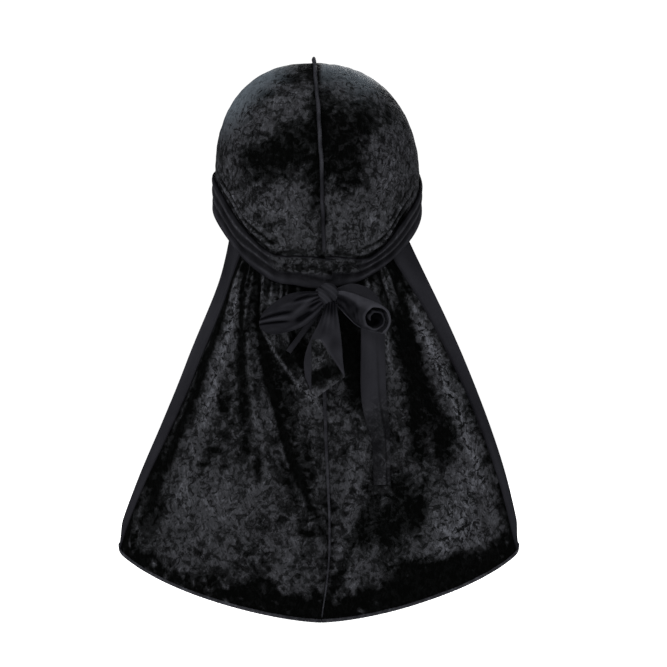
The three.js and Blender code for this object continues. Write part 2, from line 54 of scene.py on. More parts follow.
MM = 0.001
VELVET = 1.6  # thickness of a velvet wall
STRAP = 1.4  # thickness of the strap's doubled cloth
GAP = 0.4  # clearance between neighbouring pieces
EDGE = 1.2  # width of the rounding along a wall's edge
RIM_GAP = -1.0  # the cape's top edge reaches up inside the crown's rim, under the strap
SEWN = 0.15  # how far two sewn edges reach past the line where they meet
KNIT_BACK = (0.34, 1.0)  # the looks of the velvet's plain wrong side
SIDES = (("left", -1), ("right", 1))
FACES = (1, -1)  # a wall's outer and inner face, as signs

# Each cloth's material and the name of a finish slot.
CRUSHED_VELVET = ("velvet_cloth", "crushed_velvet")
PLAIN_SATIN = ("satin_cloth", "plain_satin")
SEAM_CLOTH = ("satin_cloth", "crushed_velvet")
SHEENS = {"velvet_cloth": 1.0, "satin_cloth": 0.5}

# ---- Small helpers ----


def lerp(a, b, t):
    """The value a share t of the way from a to b."""
    return a + (b - a) * t


def smooth(x, low, high):
    """0 below low, 1 above high, and 3t^2 - 2t^3 between."""
    t = np.clip((x - low) / (high - low), 0, 1)
    return t * t * (3 - 2 * t)


def bell(x):
    """exp(-x^2), 1 at 0 and near 0 beyond 2."""
    return np.exp(-x * x)


def signed_power(x, power):
    """|x| to a power, with the sign of x."""
    return np.sign(x) * np.abs(x) ** power


def vec(x, y, z):
    """Points from three arrays of coordinates."""
    return np.stack(np.broadcast_arrays(x, y, z), -1).astype(float)


def unit(v):
    """Vectors scaled to length 1."""
    return v / np.maximum(np.linalg.norm(v, axis=-1, keepdims=True), 1e-9)


def table(columns, *rows):
    """The named columns of a short table, each as an array."""
    return dict(zip(columns.split(), np.array(rows, float).T))


def between(rows, at):
    """Every column of a table at places between its rows: cubics whose slopes come from the rows beside."""
    at = np.asarray(at, float)
    places = rows["at"]
    last = len(places) - 1
    i = np.clip(np.searchsorted(places, at, side="right") - 1, 0, last - 1)
    before, after = np.maximum(i - 1, 0), np.minimum(i + 2, last)
    span = places[i + 1] - places[i]
    t = np.clip((at - places[i]) / span, 0, 1)
    result = {}
    for name, column in rows.items():
        slope_a = (column[i + 1] - column[before]) / (places[i + 1] - places[before]) * span
        slope_b = (column[after] - column[i]) / (places[after] - places[i]) * span
        result[name] = (
            column[i] * (1 + 2 * t) * (1 - t) ** 2
            + slope_a * t * (1 - t) ** 2
            + column[i + 1] * t * t * (3 - 2 * t)
            + slope_b * t * t * (t - 1)
        )
    return result


def evenly(count, length, edge=EDGE):
    """Places from 0 to 1 across a wall of some length: four close together at each end, where the edge is
    round, and count even steps between."""
    near = np.array([0, 0.12, 0.45, 1.0]) * edge / length
    return np.concatenate([near, np.linspace(near[-1], 1 - near[-1], count + 1)[1:-1], 1 - near[::-1]])


def rounded(places, length, edge=EDGE):
    """Share of the full thickness at places across a wall: a quarter circle over each edge."""
    inward = np.clip(np.minimum(places, 1 - places) * length / edge, 0, 1)
    return 0.12 + 0.88 * np.sqrt(1 - (1 - inward) ** 2)


def rounded_off(across, along, width, length, edge=EDGE, ends=EDGE):
    """Share of the full thickness or height at places of a wall, with all four edges rounded."""
    return np.minimum(rounded(across, width, edge), rounded(along, length, ends))


def cloth_grid(rows, width, columns, length, thickness=STRAP, edge=EDGE):
    """A wall's places across and along it, from 0 to 1 and in millimetres, and half its thickness there."""
    across, along = np.broadcast_arrays(evenly(rows, width, edge)[:, None], evenly(columns, length)[None, :])
    half = thickness / 2 * rounded_off(across, along, width, length, edge)
    return across, along, (across * width, along * length), half


def ripple(a, b, size, seed):
    """Soft random waves from -1 to 1 over a and b: eight sines of about one size in random directions."""
    random = np.random.default_rng(seed)
    total = 0.0
    for _ in range(8):
        turn, phase = random.uniform(0, 2 * np.pi), random.uniform(0, 2 * np.pi)
        wave = 2 * np.pi * random.uniform(0.7, 1.5) / size
        total = total + np.sin(wave * (a * np.cos(turn) + b * np.sin(turn)) + phase)
    return total / 4


def ridges(rows, across, down):
    """Height of a table's folds: each is a bell across a line that runs from its top place to its foot place,
    and it grows in and fades out along that line."""
    height = 0.0
    for top, foot, spread, rise, start, until in zip(*rows.values()):
        length = until - start
        grow = smooth(down, start, start + 0.25 * length)
        fade = 1 - smooth(down, until - 0.5 * length, until)
        height = height + rise * bell((across - lerp(top, foot, down)) / spread) * grow * fade
    return height


def patches(rows, x, z):
    """Sum of soft oval patches of lighter and darker tone, each a bell in x and z: the pile's lie, with
    painted light and shade.
    """
    total = 0.0
    for cx, cz, half_x, half_z, amount in zip(*rows.values()):
        total = total + amount * bell((x - cx) / half_x) * bell((z - cz) / half_z)
    return total


def sewn(points, side, from_seam, steep):
    """Points of a left or right piece, moved so that its edge crosses the centre seam a little."""
    points[..., 0] -= side * SEWN * np.clip(1 - steep * from_seam, 0, 1)
    return points


def stitched(sides, rings, length, taper, least, stitch, bite):
    """Angles round a sewn tube, places along it from 0 to 1 and in millimetres, how it closes at its ends, as
    a square root, and how its stitches nip it, as a squared cosine."""
    turn = np.linspace(0, 2 * np.pi, sides, endpoint=False)[None, :]
    along = np.linspace(0, 1, rings)[:, None]
    ends = np.sqrt(np.clip(np.minimum(along, 1 - along) / taper, least, 1))
    nip = 1 - bite * (0.5 + 0.5 * np.cos(2 * np.pi * along * length / stitch)) ** 2
    return turn, along, along * length, ends, nip


# ---- Meshes ----


def grid_faces(n, m, wrap=False):
    """The quads of an n by m grid of points. With wrap, the last column joins the first."""
    index = np.arange(n * m).reshape(n, m)
    if wrap:
        index = np.concatenate([index, index[:, :1]], 1)
    return np.stack([index[:-1, :-1], index[1:, :-1], index[1:, 1:], index[:-1, 1:]], -1).reshape(-1, 4)


def wall_faces(n, m):
    """The quads of a closed wall: an outer and an inner grid of n by m points and four edges."""
    outer = np.arange(n * m).reshape(n, m)
    inner = outer + n * m
    sheets = [grid_faces(n, m), grid_faces(n, m)[:, ::-1] + n * m]
    rims = [(outer[0], inner[0]), (outer[-1, ::-1], inner[-1, ::-1])]
    rims += [(outer[::-1, 0], inner[::-1, 0]), (outer[:, -1], inner[:, -1])]
    edges = [np.stack([o[:-1], o[1:], i[1:], i[:-1]], -1) for o, i in rims]
    return np.concatenate([*sheets, *edges])


def linked(name, data):
    """A new object in the scene."""
    made = bpy.data.objects.new(name, data)
    bpy.context.scene.collection.objects.link(made)
    return made


def piece(name, node, points, faces, cloth, looks, finish, caps=()):
    """A mesh object for a CAD node, from points in millimetres, its faces turned outwards. cloth gives each
    point's place on the flat cloth in millimetres. looks holds three numbers from 0 to 1 for each point: how
    light the pile lies, with painted light and shade in it, how plain the cloth is, from 0 for velvet, and
    how strong the painted sheen is."""
    faces = [*faces.tolist(), *caps]
    mesh = bpy.data.meshes.new(name)
    mesh.from_pydata(points * MM, [], faces)
    mesh.update()
    corners = np.array([f[:3] for f in faces])
    a, b, c = (points[corners[:, k]] for k in range(3))
    if (a * np.cross(b, c)).sum() < 0:
        mesh.flip_normals()
    for label, columns in (("cloth", cloth * MM), ("looks", looks)):
        values = columns.astype(np.float32).ravel()
        mesh.attributes.new(label, "FLOAT_VECTOR", "POINT").data.foreach_set("vector", values)
    mesh.polygons.foreach_set("use_smooth", np.ones(len(mesh.polygons), bool))
    material, slot = finish
    mesh.materials.append(shared_material(material))
    made = linked(name, mesh)
    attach(made, "root")
    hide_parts(node)
    return made


def triples(columns, shape):
    """Up to three numbers or arrays spread over a grid of points, with 0 for those left out."""
    columns = (*columns, 0.0, 0.0)[:3]
    return np.stack(np.broadcast_arrays(*columns, np.zeros(shape))[:3], -1).reshape(-1, 3)


def wall(name, node, outer, inner, cloth, looks, finish, back=None):
    """A closed wall from two grids of points, with the same places on the flat cloth. back holds the inner
    face's looks where they aren't the outer face's."""
    n, m = outer.shape[:2]
    points = np.concatenate([outer.reshape(-1, 3), inner.reshape(-1, 3)])
    flat = np.tile(triples(cloth, (n, m)), (2, 1))
    kind = np.concatenate([triples(looks, (n, m)), triples(back or looks, (n, m))])
    return piece(name, node, points, wall_faces(n, m), flat, kind, finish)


def tube(name, node, rings, cloth, looks, finish):
    """A closed tube from rings of points, with a flat face over each end."""
    n, m = rings.shape[:2]
    caps = [list(range(m)), list(range((n - 1) * m, n * m))[::-1]]
    flat, kind = (triples(columns, (n, m)) for columns in (cloth, looks))
    faces = grid_faces(n, m, wrap=True)[:, ::-1]
    return piece(name, node, rings.reshape(-1, 3), faces, flat, kind, finish, caps)


# ---- The worn crown's form ----

HEAD = dict(half_width=83, half_depth=98, rise=95, drop=120, roundness=2.3, egg=0.02, lean=-3.5)
HEAD_CENTRE_Z = VELVET - HEAD["rise"]
RIM_WAVES = (119.6, -52, 7, -1.1)  # the rim's mean depth below the top, and three cosine waves
LEFT_LIFT = dict(azimuth=-115, spread=25, height=7)  # the rim rides higher over the left ear
NAPE_LIFT = dict(spread=18, height=5)
TEMPLE = 55  # degrees round from the brow, where the brow band becomes a strap
BEHIND_EAR = 118  # degrees round from the brow, where the cape's side edge starts
SEAM = dict(width=3.2, nape_height=1.6, top_shift=0.8, nape_shift=5, start=0.065, until=0.95)
SEAM_STITCHES = dict(sides=20, rings=560, length=330, taper=0.006, least=0.02, stitch=2.6, bite=0.08)
CROWN_PANEL = dict(rows=92, width=110, columns=150, length=245)  # a panel's grid, and its size


def semi_axes(point):
    """The head form's half width, half depth, and rise above or drop below its centre."""
    tall = np.where(point[..., 2] > 0, HEAD["rise"], HEAD["drop"])
    return vec(HEAD["half_width"], HEAD["half_depth"], tall)


def placed(point, offset):
    """A point of the superellipsoid |x/a|^n + |y/b|^n + |z/c|^n = 1, moved out along its normal, narrowed
    towards the brow, leaned to the left with height, and lifted to the head's height."""
    semi = semi_axes(point)
    normal = unit(signed_power(point / semi, HEAD["roundness"] - 1) / semi)
    moved = point + normal * np.asarray(offset, float)[..., None]
    x, y, z = (moved[..., k] for k in range(3))
    x = x * (1 - HEAD["egg"] * y / HEAD["half_depth"])
    x = x + HEAD["lean"] * np.maximum(0, point[..., 2] / HEAD["rise"]) ** 1.5
    return vec(x, y, z + HEAD_CENTRE_Z)


def along_ray(direction):
    """Where rays from the head's centre meet the superellipsoid."""
    reach = (np.abs(direction / semi_axes(direction)) ** HEAD["roundness"]).sum(-1, keepdims=True)
    return direction * reach ** (-1 / HEAD["roundness"])


def at_height(azimuth, z):
    """The superellipsoid's point at an azimuth, 0 at the brow and 90 at the right ear, and a height."""
    rise = z - HEAD_CENTRE_Z
    n = HEAD["roundness"]
    tall = np.where(rise > 0, HEAD["rise"], HEAD["drop"])
    shrink = np.maximum(0, 1 - np.abs(rise / tall) ** n) ** (1 / n)
    turn = np.radians(azimuth)
    x = shrink * HEAD["half_width"] * signed_power(np.sin(turn), 2 / n)
    return vec(x, shrink * HEAD["half_depth"] * signed_power(np.cos(turn), 2 / n), rise)


def rim_z(azimuth):
    """Height of the crown's rim: a mean depth and three cosine waves round the head, lifted in a bell behind
    the left ear and in another at the nape."""
    depth = sum(wave * np.cos(k * np.radians(azimuth)) for k, wave in enumerate(RIM_WAVES))
    left = LEFT_LIFT["height"] * bell((azimuth - LEFT_LIFT["azimuth"]) / LEFT_LIFT["spread"])
    return VELVET - depth + left + NAPE_LIFT["height"] * bell((np.abs(azimuth) - 180) / NAPE_LIFT["spread"])


def on_rim(azimuth):
    """The rim's point at an azimuth, on the superellipsoid."""
    return at_height(azimuth, rim_z(azimuth))


def on_seam(along):
    """The centre seam's line over the head, from the brow at 0 to the nape at 1."""
    brow, nape = on_rim(np.array(0.0)), on_rim(np.array(180.0))
    turn = lerp(math.atan2(brow[2], brow[1]), math.atan2(nape[2], nape[1]) + 2 * math.pi, along)
    shift = lerp(SEAM["top_shift"], SEAM["nape_shift"], smooth(along, 0.4, 1))
    return along_ray(vec(shift / HEAD["rise"], np.cos(turn), np.sin(turn)))


def azimuth_of(point):
    """Degrees round from the brow of a placed point."""
    power = HEAD["roundness"] / 2
    x = signed_power(point[..., 0] / HEAD["half_width"], power)
    return np.degrees(np.arctan2(x, signed_power(point[..., 1] / HEAD["half_depth"], power)))


# ---- Crown ----

# Creases of the stretched crown beside the strap: how far above its upper edge, and the azimuths they span.
CREASES = table(
    "above spread height start until",
    (0.5, 1.6, -0.9, 112, 179),
    (4.0, 1.8, 0.8, 104, 172),
    (7.5, 1.3, -1.0, 106, 166),
    (11.5, 2.2, 0.7, 108, 156),
    (15.5, 1.4, -0.8, 110, 150),
    (22.0, 1.8, -0.4, 116, 146),
)

# Regions of the crown that are lighter or darker, seen from behind: the crushed pile's lie, with painted
# light and shade.
CROWN_PILE_AND_LIGHT = table(
    "x z half_x half_z amount",
    (-34, -82, 30, 14, -0.42),
    (-12, -64, 14, 13, -0.3),
    (24, -80, 16, 28, -0.4),
    (38, -51, 17, 13, -0.34),
    (8, -58, 7, 26, -0.3),
    (-24, -16, 10, 4, -0.5),
    (-40, -29, 8, 4, -0.5),
    (-6, -10, 9, 7, -0.3),
    (10, -14, 5, 5, -0.35),
    (-28, -38, 15, 11, 0.22),
    (-62, -50, 12, 22, 0.14),
    (54, -80, 13, 34, 0.24),
    (-68, -90, 6, 22, 0.2),
    (-60, -98, 5, 6, -0.3),
    (-30, -122, 26, 18, 0.14),
    (34, -128, 28, 20, 0.18),
    (-3, -118, 3.5, 11, -0.4),
    (6, -130, 3, 5, -0.35),
    (66, -130, 6, 8, -0.4),
    (57, -46, 3, 7, -0.3),
)


def crown_line(side, across, down):
    """A Coons patch between the brow, seam, nape and ear lines of one panel, pushed out on rays onto the head
    form. across runs from the seam to the ear, down from the brow to the nape."""
    near_seam = np.clip(1 - 10 * across, 0, 1)[..., None]
    ends = [on_seam(np.array(e)) - on_rim(np.array(a)) for e, a in ((0.0, 0.0), (1.0, 180.0))]
    brow = on_rim(side * across * TEMPLE) + near_seam * ends[0]
    nape = on_rim(side * lerp(180, BEHIND_EAR, across)) + near_seam * ends[1]
    ear = on_rim(side * lerp(TEMPLE, BEHIND_EAR, down))
    u, v = across[..., None], down[..., None]
    zero = np.zeros_like(across)
    brow_seam, nape_seam = on_seam(zero), on_seam(zero + 1)
    brow_ear, nape_ear = on_rim(zero + side * TEMPLE), on_rim(zero + side * BEHIND_EAR)
    blend = brow * (1 - v) + nape * v + on_seam(down) * (1 - u) + ear * u
    blend -= brow_seam * (1 - u) * (1 - v) + brow_ear * u * (1 - v)
    blend -= nape_seam * (1 - u) * v + nape_ear * u * v
    return along_ray(blend)


def crown_relief(point):
    """Height of the crown's creases beside the strap and its soft crush, in millimetres."""
    signed = azimuth_of(point)
    azimuth = np.abs(signed)
    above = point[..., 2] - strap_top(signed)
    above = above + 1.2 * np.sin(azimuth / 7) + 0.8 * np.sin(azimuth / 3.1 + 1)
    height = 0.0
    for place, spread, rise, start, until in zip(*CREASES.values()):
        span = smooth(azimuth, start, start + 14) * (1 - smooth(azimuth, until - 14, until))
        height = height + rise * bell((above - place) / spread) * span
    sweep = point[..., 0] + 0.4 * point[..., 1]
    return height + 0.22 * ripple(sweep, point[..., 2], 17, 4) + 0.12 * ripple(sweep, point[..., 2], 7, 5)


def crown_painted_sheen(point):
    """Strength of the crown's painted sheen: two soft crescents along its upper left and its top right."""
    x, z = point[..., 0] / HEAD["half_width"], (point[..., 2] - HEAD_CENTRE_Z) / HEAD["rise"]
    reach, turn = np.hypot(x, z), np.degrees(np.arctan2(z, x))
    left = smooth(reach, 0.66, 1.04) * smooth(turn, 94, 118) * (1 - smooth(turn, 140, 176))
    right = 0.95 * smooth(reach, 0.56, 1.02) * smooth(turn, 38, 62) * (1 - smooth(turn, 86, 90))
    return np.clip(left + right, 0, 1) * (1 - smooth(point[..., 1], -8, 34))


def make_crown():
    """Two velvet panels over the head, and the raised centre seam between them."""
    for name, side in SIDES:
        across, down, flat, half = cloth_grid(**CROWN_PANEL, thickness=VELVET)
        line = crown_line(side, across, down)
        base = placed(line, 0)
        fade = rounded_off(across, down, CROWN_PANEL["width"], CROWN_PANEL["length"], 4, 4)
        relief = crown_relief(base) * fade
        faces = [placed(line, relief - VELVET / 2 + sign * half) for sign in FACES]
        faces = [sewn(face, side, across, 10) for face in faces]
        # Pile tone with painted light and shade: patches behind, painted light on the creases' ridges and
        # painted shade in their hollows, painted shade along both sides of the seam, and the crown's painted
        # sheen.
        behind = smooth(-base[..., 1], -20, 25)
        pile = 0.6 + behind * patches(CROWN_PILE_AND_LIGHT, base[..., 0], base[..., 2]) + 0.32 * relief
        looks = (pile - 0.25 * bell(flat[0] / 3), 0.0, crown_painted_sheen(base))
        cloth = (side * flat[0], flat[1])
        panel = wall("crown_" + name, "crown_panel_" + name, *faces, cloth, looks, CRUSHED_VELVET, KNIT_BACK)
    make_crown_ridge()


def make_crown_ridge():
    """The seam's two cut edges stand up together as a ridge: an oval whose top has a groove along it, nipped
    by every stitch of its overlock."""
    turn, along, run, ends, nip = stitched(**SEAM_STITCHES)
    line = on_seam(lerp(SEAM["start"], SEAM["until"], along))
    foot = placed(line, -SEWN)
    out = unit(placed(line, 1) - foot)
    pressed = smooth(along, 0.7, 1) + 1 - smooth(along, 0, 0.06)
    height = lerp(settings().seam_height / MM, SEAM["nape_height"], pressed)
    wander = 0.35 * np.sin(along * 41) + 0.25 * np.sin(along * 97 + 1)
    wide = SEAM["width"] / 2 * np.cos(turn) * (1 - 0.3 * smooth(np.sin(turn), 0, 1)) * ends * nip
    groove = 0.14 * bell(np.cos(turn) / 0.25) * smooth(np.sin(turn), 0.2, 1)
    rise = height / 2 * (1 + np.sin(turn) * (1 - groove) * ends * nip)
    rings = foot + out * rise[..., None] + vec(wide + wander * rise / height, 0, 0)
    # Painted highlight along the ridge's crest; darker towards the nape.
    tone = 0.5 + 0.25 * np.sin(turn) + 0.18 * ripple(run, 2 * turn, 21, 6) - 0.3 * smooth(along, 0.76, 0.86)
    tube("crown_ridge", "crown_seam", rings, (turn * 1.6, run), (tone, 0.8), PLAIN_SATIN)


# ---- Strap ----

STRAP_FIT = dict(fold=1.3, cords=3, lip=0.8, reach=7, lap=1.9)
STRAP_WIDTH = 25

# The strap's pieces and their nodes: the azimuths that each spans, its rows, columns and length, its flat
# size in metres, and what it rests on.
STRAP_PIECES = (
    ("brow", "brow_band", (-TEMPLE, TEMPLE), (22, 120, 175), (0.026, 0.18), ["crown_left", "crown_right"]),
    ("strap_side_left", "strap_left", (-TEMPLE + 0.3, -187), (44, 260, 205), (0.03, 0.21), ["crown_left"]),
    ("strap_side_right", "strap_right", (TEMPLE - 0.3, 176.5), (44, 260, 205), (0.03, 0.21), ["crown_right"]),
)

# The strap's course: how far its lower edge lies below the rim, and its width.
STRAP_PLACES = table(
    "at below width",
    (-187, 4.5, 19),
    (-172, 5.2, 21.5),
    (-156, 7, 22),
    (-140, 7.3, 27),
    (-122, 6.2, 30.8),
    (-100, 6, 30),
    (-75, 6.5, 25),
    (-50, 6.5, 25),
    (60, 6.5, 25),
    (116, 6.5, 27),
    (130, 6.5, 23.5),
    (142, 6.5, 17),
    (152, 6.5, 16),
    (162, 6.3, 20),
    (172, 5.5, 21.5),
    (183, 4.5, 19),
)


def strap_top(azimuth):
    """Height of the strap's upper edge."""
    row = between(STRAP_PLACES, azimuth)
    return rim_z(azimuth) - row["below"] + row["width"]


def strap_cords(azimuth, across):
    """Height of the strap's lengthwise cords from 0 to 1: a cosine across it that wanders along it."""
    drift = 0.06 * np.sin(np.abs(azimuth) / 9) + 0.04 * np.sin(np.abs(azimuth) / 4.3 + 2)
    wave = 0.5 - 0.5 * np.cos(2 * np.pi * STRAP_FIT["cords"] * (across + drift * np.sin(np.pi * across)))
    return wave**0.7


def strap_point(azimuth, across, offset):
    """A point of the strap on the crown's outside, its cloth laid in lengthwise cords behind the ears. Below
    the rim it hangs straight, over the cape's top edge. At the nape its left end lies over its right end."""
    around = np.abs(azimuth)
    rim = rim_z(azimuth)
    row = between(STRAP_PLACES, azimuth)
    z = rim - row["below"] + across * row["width"]
    fold = STRAP_FIT["fold"] * strap_cords(azimuth, across) * smooth(around, TEMPLE, 130)
    fold = fold + STRAP_FIT["lap"] * smooth(-azimuth, 179, 182.5)
    lip = STRAP_FIT["lip"] * smooth(rim - z, 0, 6)
    away = GAP + 0.1 + lip + STRAP_FIT["reach"] * smooth(around, 165, 180) * (1 - across) + fold + offset
    nape = smooth(around, 148, 162)
    pucker = 0.7 * ripple(around * 1.6, across * 16, 6.5, 11) * smooth(across, 0.3, 0.6) * nape
    away = away + np.maximum(pucker, -0.6) * (1 - smooth(across, 0.88, 1))
    point = placed(at_height(azimuth, np.maximum(z, rim)), away)
    point[..., 2] += np.minimum(0, z - rim)
    return point


def make_strap():
    """The brow band and the strap's two sides, down to the knot."""
    for name, node, ends, (rows, columns, length), size, under in STRAP_PIECES:
        across, along, flat, half = cloth_grid(rows, STRAP_WIDTH, columns, length)
        azimuth = lerp(*ends, along)
        around = np.abs(azimuth)
        faces = [strap_point(azimuth, across, STRAP / 2 + sign * half) for sign in FACES]
        nape = smooth(around, 149, 160)
        behind_ear = 0.4 * smooth(around, 95, 140)
        velvety = smooth(across, 0.42, 0.5) * (1 - smooth(across, 0.93, 0.97))
        plain = 1 - np.maximum(nape * velvety, behind_ear * smooth(across, 0.15, 0.3))
        # Painted light and shade on the strap: painted highlights on the cords' crests and painted shade
        # along both edges.
        cords = strap_cords(azimuth, across)
        lights = 0.3 * cords**8 * (1 + 0.6 * ripple(around, across * 9, 21, 12))
        tone = 0.19 + 0.12 * cords + lights * smooth(around, 70, 110) * (1 - nape)
        tone = tone + 0.08 * ripple(around * 1.5, across * 20, 14, 3) + 0.12 * nape + 0.2 * nape * velvety
        tone = tone - 0.25 * smooth(across, 0.95, 1) - 0.1 * (1 - smooth(across, 0, 0.05))
        made = wall(name, node, *faces, flat, (tone, plain), PLAIN_SATIN)


# ---- Cape ----

CAPE_LENGTH = 250  # from the strap to the hem
CAPE = dict(
    half_width=161,
    corner_z=-385.5,
    hem_dip=55.5,  # centre of the hem below its corners
    hem_round=1.48,  # exponent of the hem's curve
    back_y=-112,  # centre of the hem
    edge_forward=52,  # the side edges come this far forward of the centre at the hem
    shift=1.6,
    left_hang=31,  # how far the left edge hangs straight down before it flares
    right_hang=15,
    sway=12,  # how far the right edge bows outwards
    flank=3,
    left_draw=3.5,  # how far the left edge is drawn in below the strap
    seam_drift=6,  # the centre seam wanders to the right above the hem
    bulge=3,  # fullness just below the strap
    inset=1,
    flare=0.36,  # how far towards the foot each line turns outwards
    evenness=0.55,  # spaces the places down the cape evenly
    top_reach=92,  # cloth from the seam to a side edge, at the strap
    hem_reach=168,
)
CORNER = dict(across=0.84, down=0.9, inset=3.8)  # where both hem corners start to round off, and how far
CAPE_SEAM = dict(width=3, height=1.8, start=0.06)
CAPE_PANEL = dict(rows=118, width=130, columns=170, length=CAPE_LENGTH)  # a panel's grid, and its size
FACING = dict(left_width=18, right_width=21, thickness=2, overlap=1.6, lift=0.9)
FACING_GRID = dict(rows=18, width=19, columns=190, length=CAPE_LENGTH)
HEM_HEIGHT = 4.4
HEM_STITCHES = dict(sides=14, rings=420, length=190, taper=0.008, least=0.05, stitch=3, bite=0.07)
CAPE_STITCHES = dict(sides=14, rings=420, length=CAPE_LENGTH, taper=0.008, least=0.05, stitch=2.8, bite=0.1)
HEM_DOWN = 1 - HEM_HEIGHT / CAPE_LENGTH  # where the hem starts, from 0 at the strap to 1 at the foot
HEM_MIDDLE = (1 + HEM_DOWN) / 2
SEARCH_TURNS = 40  # how often a place on the cape is corrected
SEARCH_DROP = 300  # height in millimetres that counts as the whole way down
PANEL_DOWN = HEM_DOWN + 0.007  # the panels and facings end just inside the hem

# Folds of the cape. Places across run from -1 at the left edge over 0 at the seam to 1 at the right edge, and
# places down from 0 at the strap to 1 at the hem. Height is in millimetres, valleys below zero.
FOLDS = table(
    "top foot spread height start until",
    (-0.93, -0.86, 0.06, -3, 0.05, 0.8),
    (-0.8, -0.78, 0.07, 3.5, 0.04, 0.75),
    (-0.8, 0, 0.085, 4.5, 0.05, 0.8),
    (-0.64, 0.2, 0.08, -4, 0.06, 0.7),
    (-0.52, 0.62, 0.075, 4, 0.06, 0.5),
    (0.24, 0.26, 0.09, -4.5, 0.08, 0.5),
    (0.56, 0.2, 0.08, 3.5, 0.04, 0.5),
    (0.62, 0.7, 0.08, -5, 0.1, 0.75),
    (0.76, 0.95, 0.08, 4, 0.08, 0.95),
    (0.75, 0.08, 0.09, 3, 0.6, 1.2),
    (0.3, 0.42, 0.09, -3, 0.6, 1.2),
    (-0.3, -0.5, 0.16, 2.5, 0.55, 1.3),
)

# Finer folds and gathers that lie over them, in the same terms.
FINE_FOLDS = table(
    "top foot spread height start until",
    (-0.88, -1.0, 0.022, 1.3, 0.03, 0.3),
    (-0.74, -0.8, 0.02, 1.5, 0.03, 0.34),
    (-0.69, -0.62, 0.016, -1.6, 0.03, 0.3),
    (-0.63, -0.45, 0.02, 1.5, 0.03, 0.36),
    (-0.57, -0.3, 0.016, -1.5, 0.03, 0.3),
    (-0.5, 0.5, 0.02, 1.5, 0.1, 0.55),
    (-0.44, 0.58, 0.018, -1.3, 0.1, 0.5),
    (-0.76, 0.02, 0.022, 1.2, 0.12, 0.7),
    (-0.7, 0.1, 0.02, -1.4, 0.2, 0.78),
    (-0.36, -0.2, 0.02, -1.3, 0.03, 0.3),
    (-0.28, -0.1, 0.02, 1.2, 0.03, 0.28),
    (0.3, 0.3, 0.02, 1.2, 0.03, 0.26),
    (0.4, 0.36, 0.02, -1.4, 0.03, 0.3),
    (0.48, 0.34, 0.018, 1.6, 0.04, 0.42),
    (0.58, 0.62, 0.016, -1.6, 0.03, 0.35),
    (0.66, 0.66, 0.018, 1.7, 0.03, 0.34),
    (0.74, 0.86, 0.018, -1.5, 0.03, 0.4),
    (0.84, 0.98, 0.02, 1.3, 0.05, 0.7),
    (0.88, 0.92, 0.014, -1.0, 0.1, 0.8),
    (0.2, 0.14, 0.03, 1.0, 0.5, 1.0),
    (0.1, -0.3, 0.03, -0.9, 0.6, 1.1),
    (-0.2, -0.16, 0.03, 0.9, 0.6, 1.1),
    (-0.62, -0.7, 0.03, -0.9, 0.55, 1.0),
    (0.6, 0.52, 0.03, 0.9, 0.6, 1.1),
)

# Painted light and shade in lines down the cape along its folds, in the same terms with a tone for height.
CAPE_FOLD_LIGHT_LINES = table(
    "top foot spread height start until",
    (-0.8, -0.79, 0.028, -0.6, 0.06, 1.0),
    (-0.755, -0.62, 0.042, 0.5, 0.04, 0.85),
    (-0.79, -0.12, 0.045, -0.65, 0.06, 0.66),
    (-0.77, 0.18, 0.035, 0.24, 0.12, 0.8),
    (-0.71, 0.18, 0.022, -0.5, 0.12, 0.9),
    (-1.03, 1.24, 0.02, 0.55, 0.2, 0.52),
    (0.24, 0.24, 0.09, -0.6, 0.1, 0.52),
    (0.83, 0.22, 0.06, -0.42, 0.06, 0.7),
    (0.73, 0.76, 0.028, 0.5, 0.16, 1.0),
    (0.53, 0.3, 0.018, 0.4, 0.2, 0.46),
    (0.7, -0.02, 0.04, -0.4, 0.55, 1.2),
    (-0.52, -0.5, 0.012, 0.5, 0.03, 0.24),
    (-0.43, -0.4, 0.012, 0.4, 0.03, 0.2),
    (-0.33, -0.3, 0.014, 0.4, 0.02, 0.18),
    (0.62, 0.56, 0.012, 0.5, 0.02, 0.24),
    (0.46, 0.42, 0.014, 0.4, 0.02, 0.2),
)

# Regions of the cape that are lighter or darker, seen from behind: the crushed pile's lie, with painted light
# and shade.
CAPE_PILE_AND_LIGHT = table(
    "x z half_x half_z amount",
    (-15, -328, 10, 12, -0.35),
    (-35, -288, 8, 22, 0.3),
    (-20, -238, 12, 16, -0.6),
    (-24, -272, 10, 18, -0.25),
    (-128, -348, 7, 24, -0.25),
    (-80, -309, 6, 3.5, -0.45),
    (-92, -321, 5, 1.8, -0.4),
    (-46, -324, 2.5, 13, -0.45),
    (-74, -273, 4, 7, -0.4),
    (-9, -373, 8, 2.5, -0.4),
    (-34, -302, 8, 6, -0.2),
    (-84, -350, 44, 24, 0.16),
    (-24, -385, 22, 24, 0.16),
    (99, -302, 7, 18, -0.35),
    (64, -340, 7, 9, -0.2),
    (78, -358, 7, 13, -0.45),
    (52, -372, 11, 16, -0.28),
    (116, -340, 14, 28, 0.42),
    (70, -388, 24, 8, 0.16),
    (108, -374, 28, 18, 0.42),
    (24, -392, 9, 16, 0.3),
    (24, -278, 8, 10, 0.12),
    (34, -330, 10, 30, 0.22),
)


def bezier(a, b, c, d, t):
    """A cubic curve that leaves a towards b and reaches d from c."""
    t = t[..., None]
    return a * (1 - t) ** 3 + b * 3 * t * (1 - t) ** 2 + c * 3 * t * t * (1 - t) + d * t**3


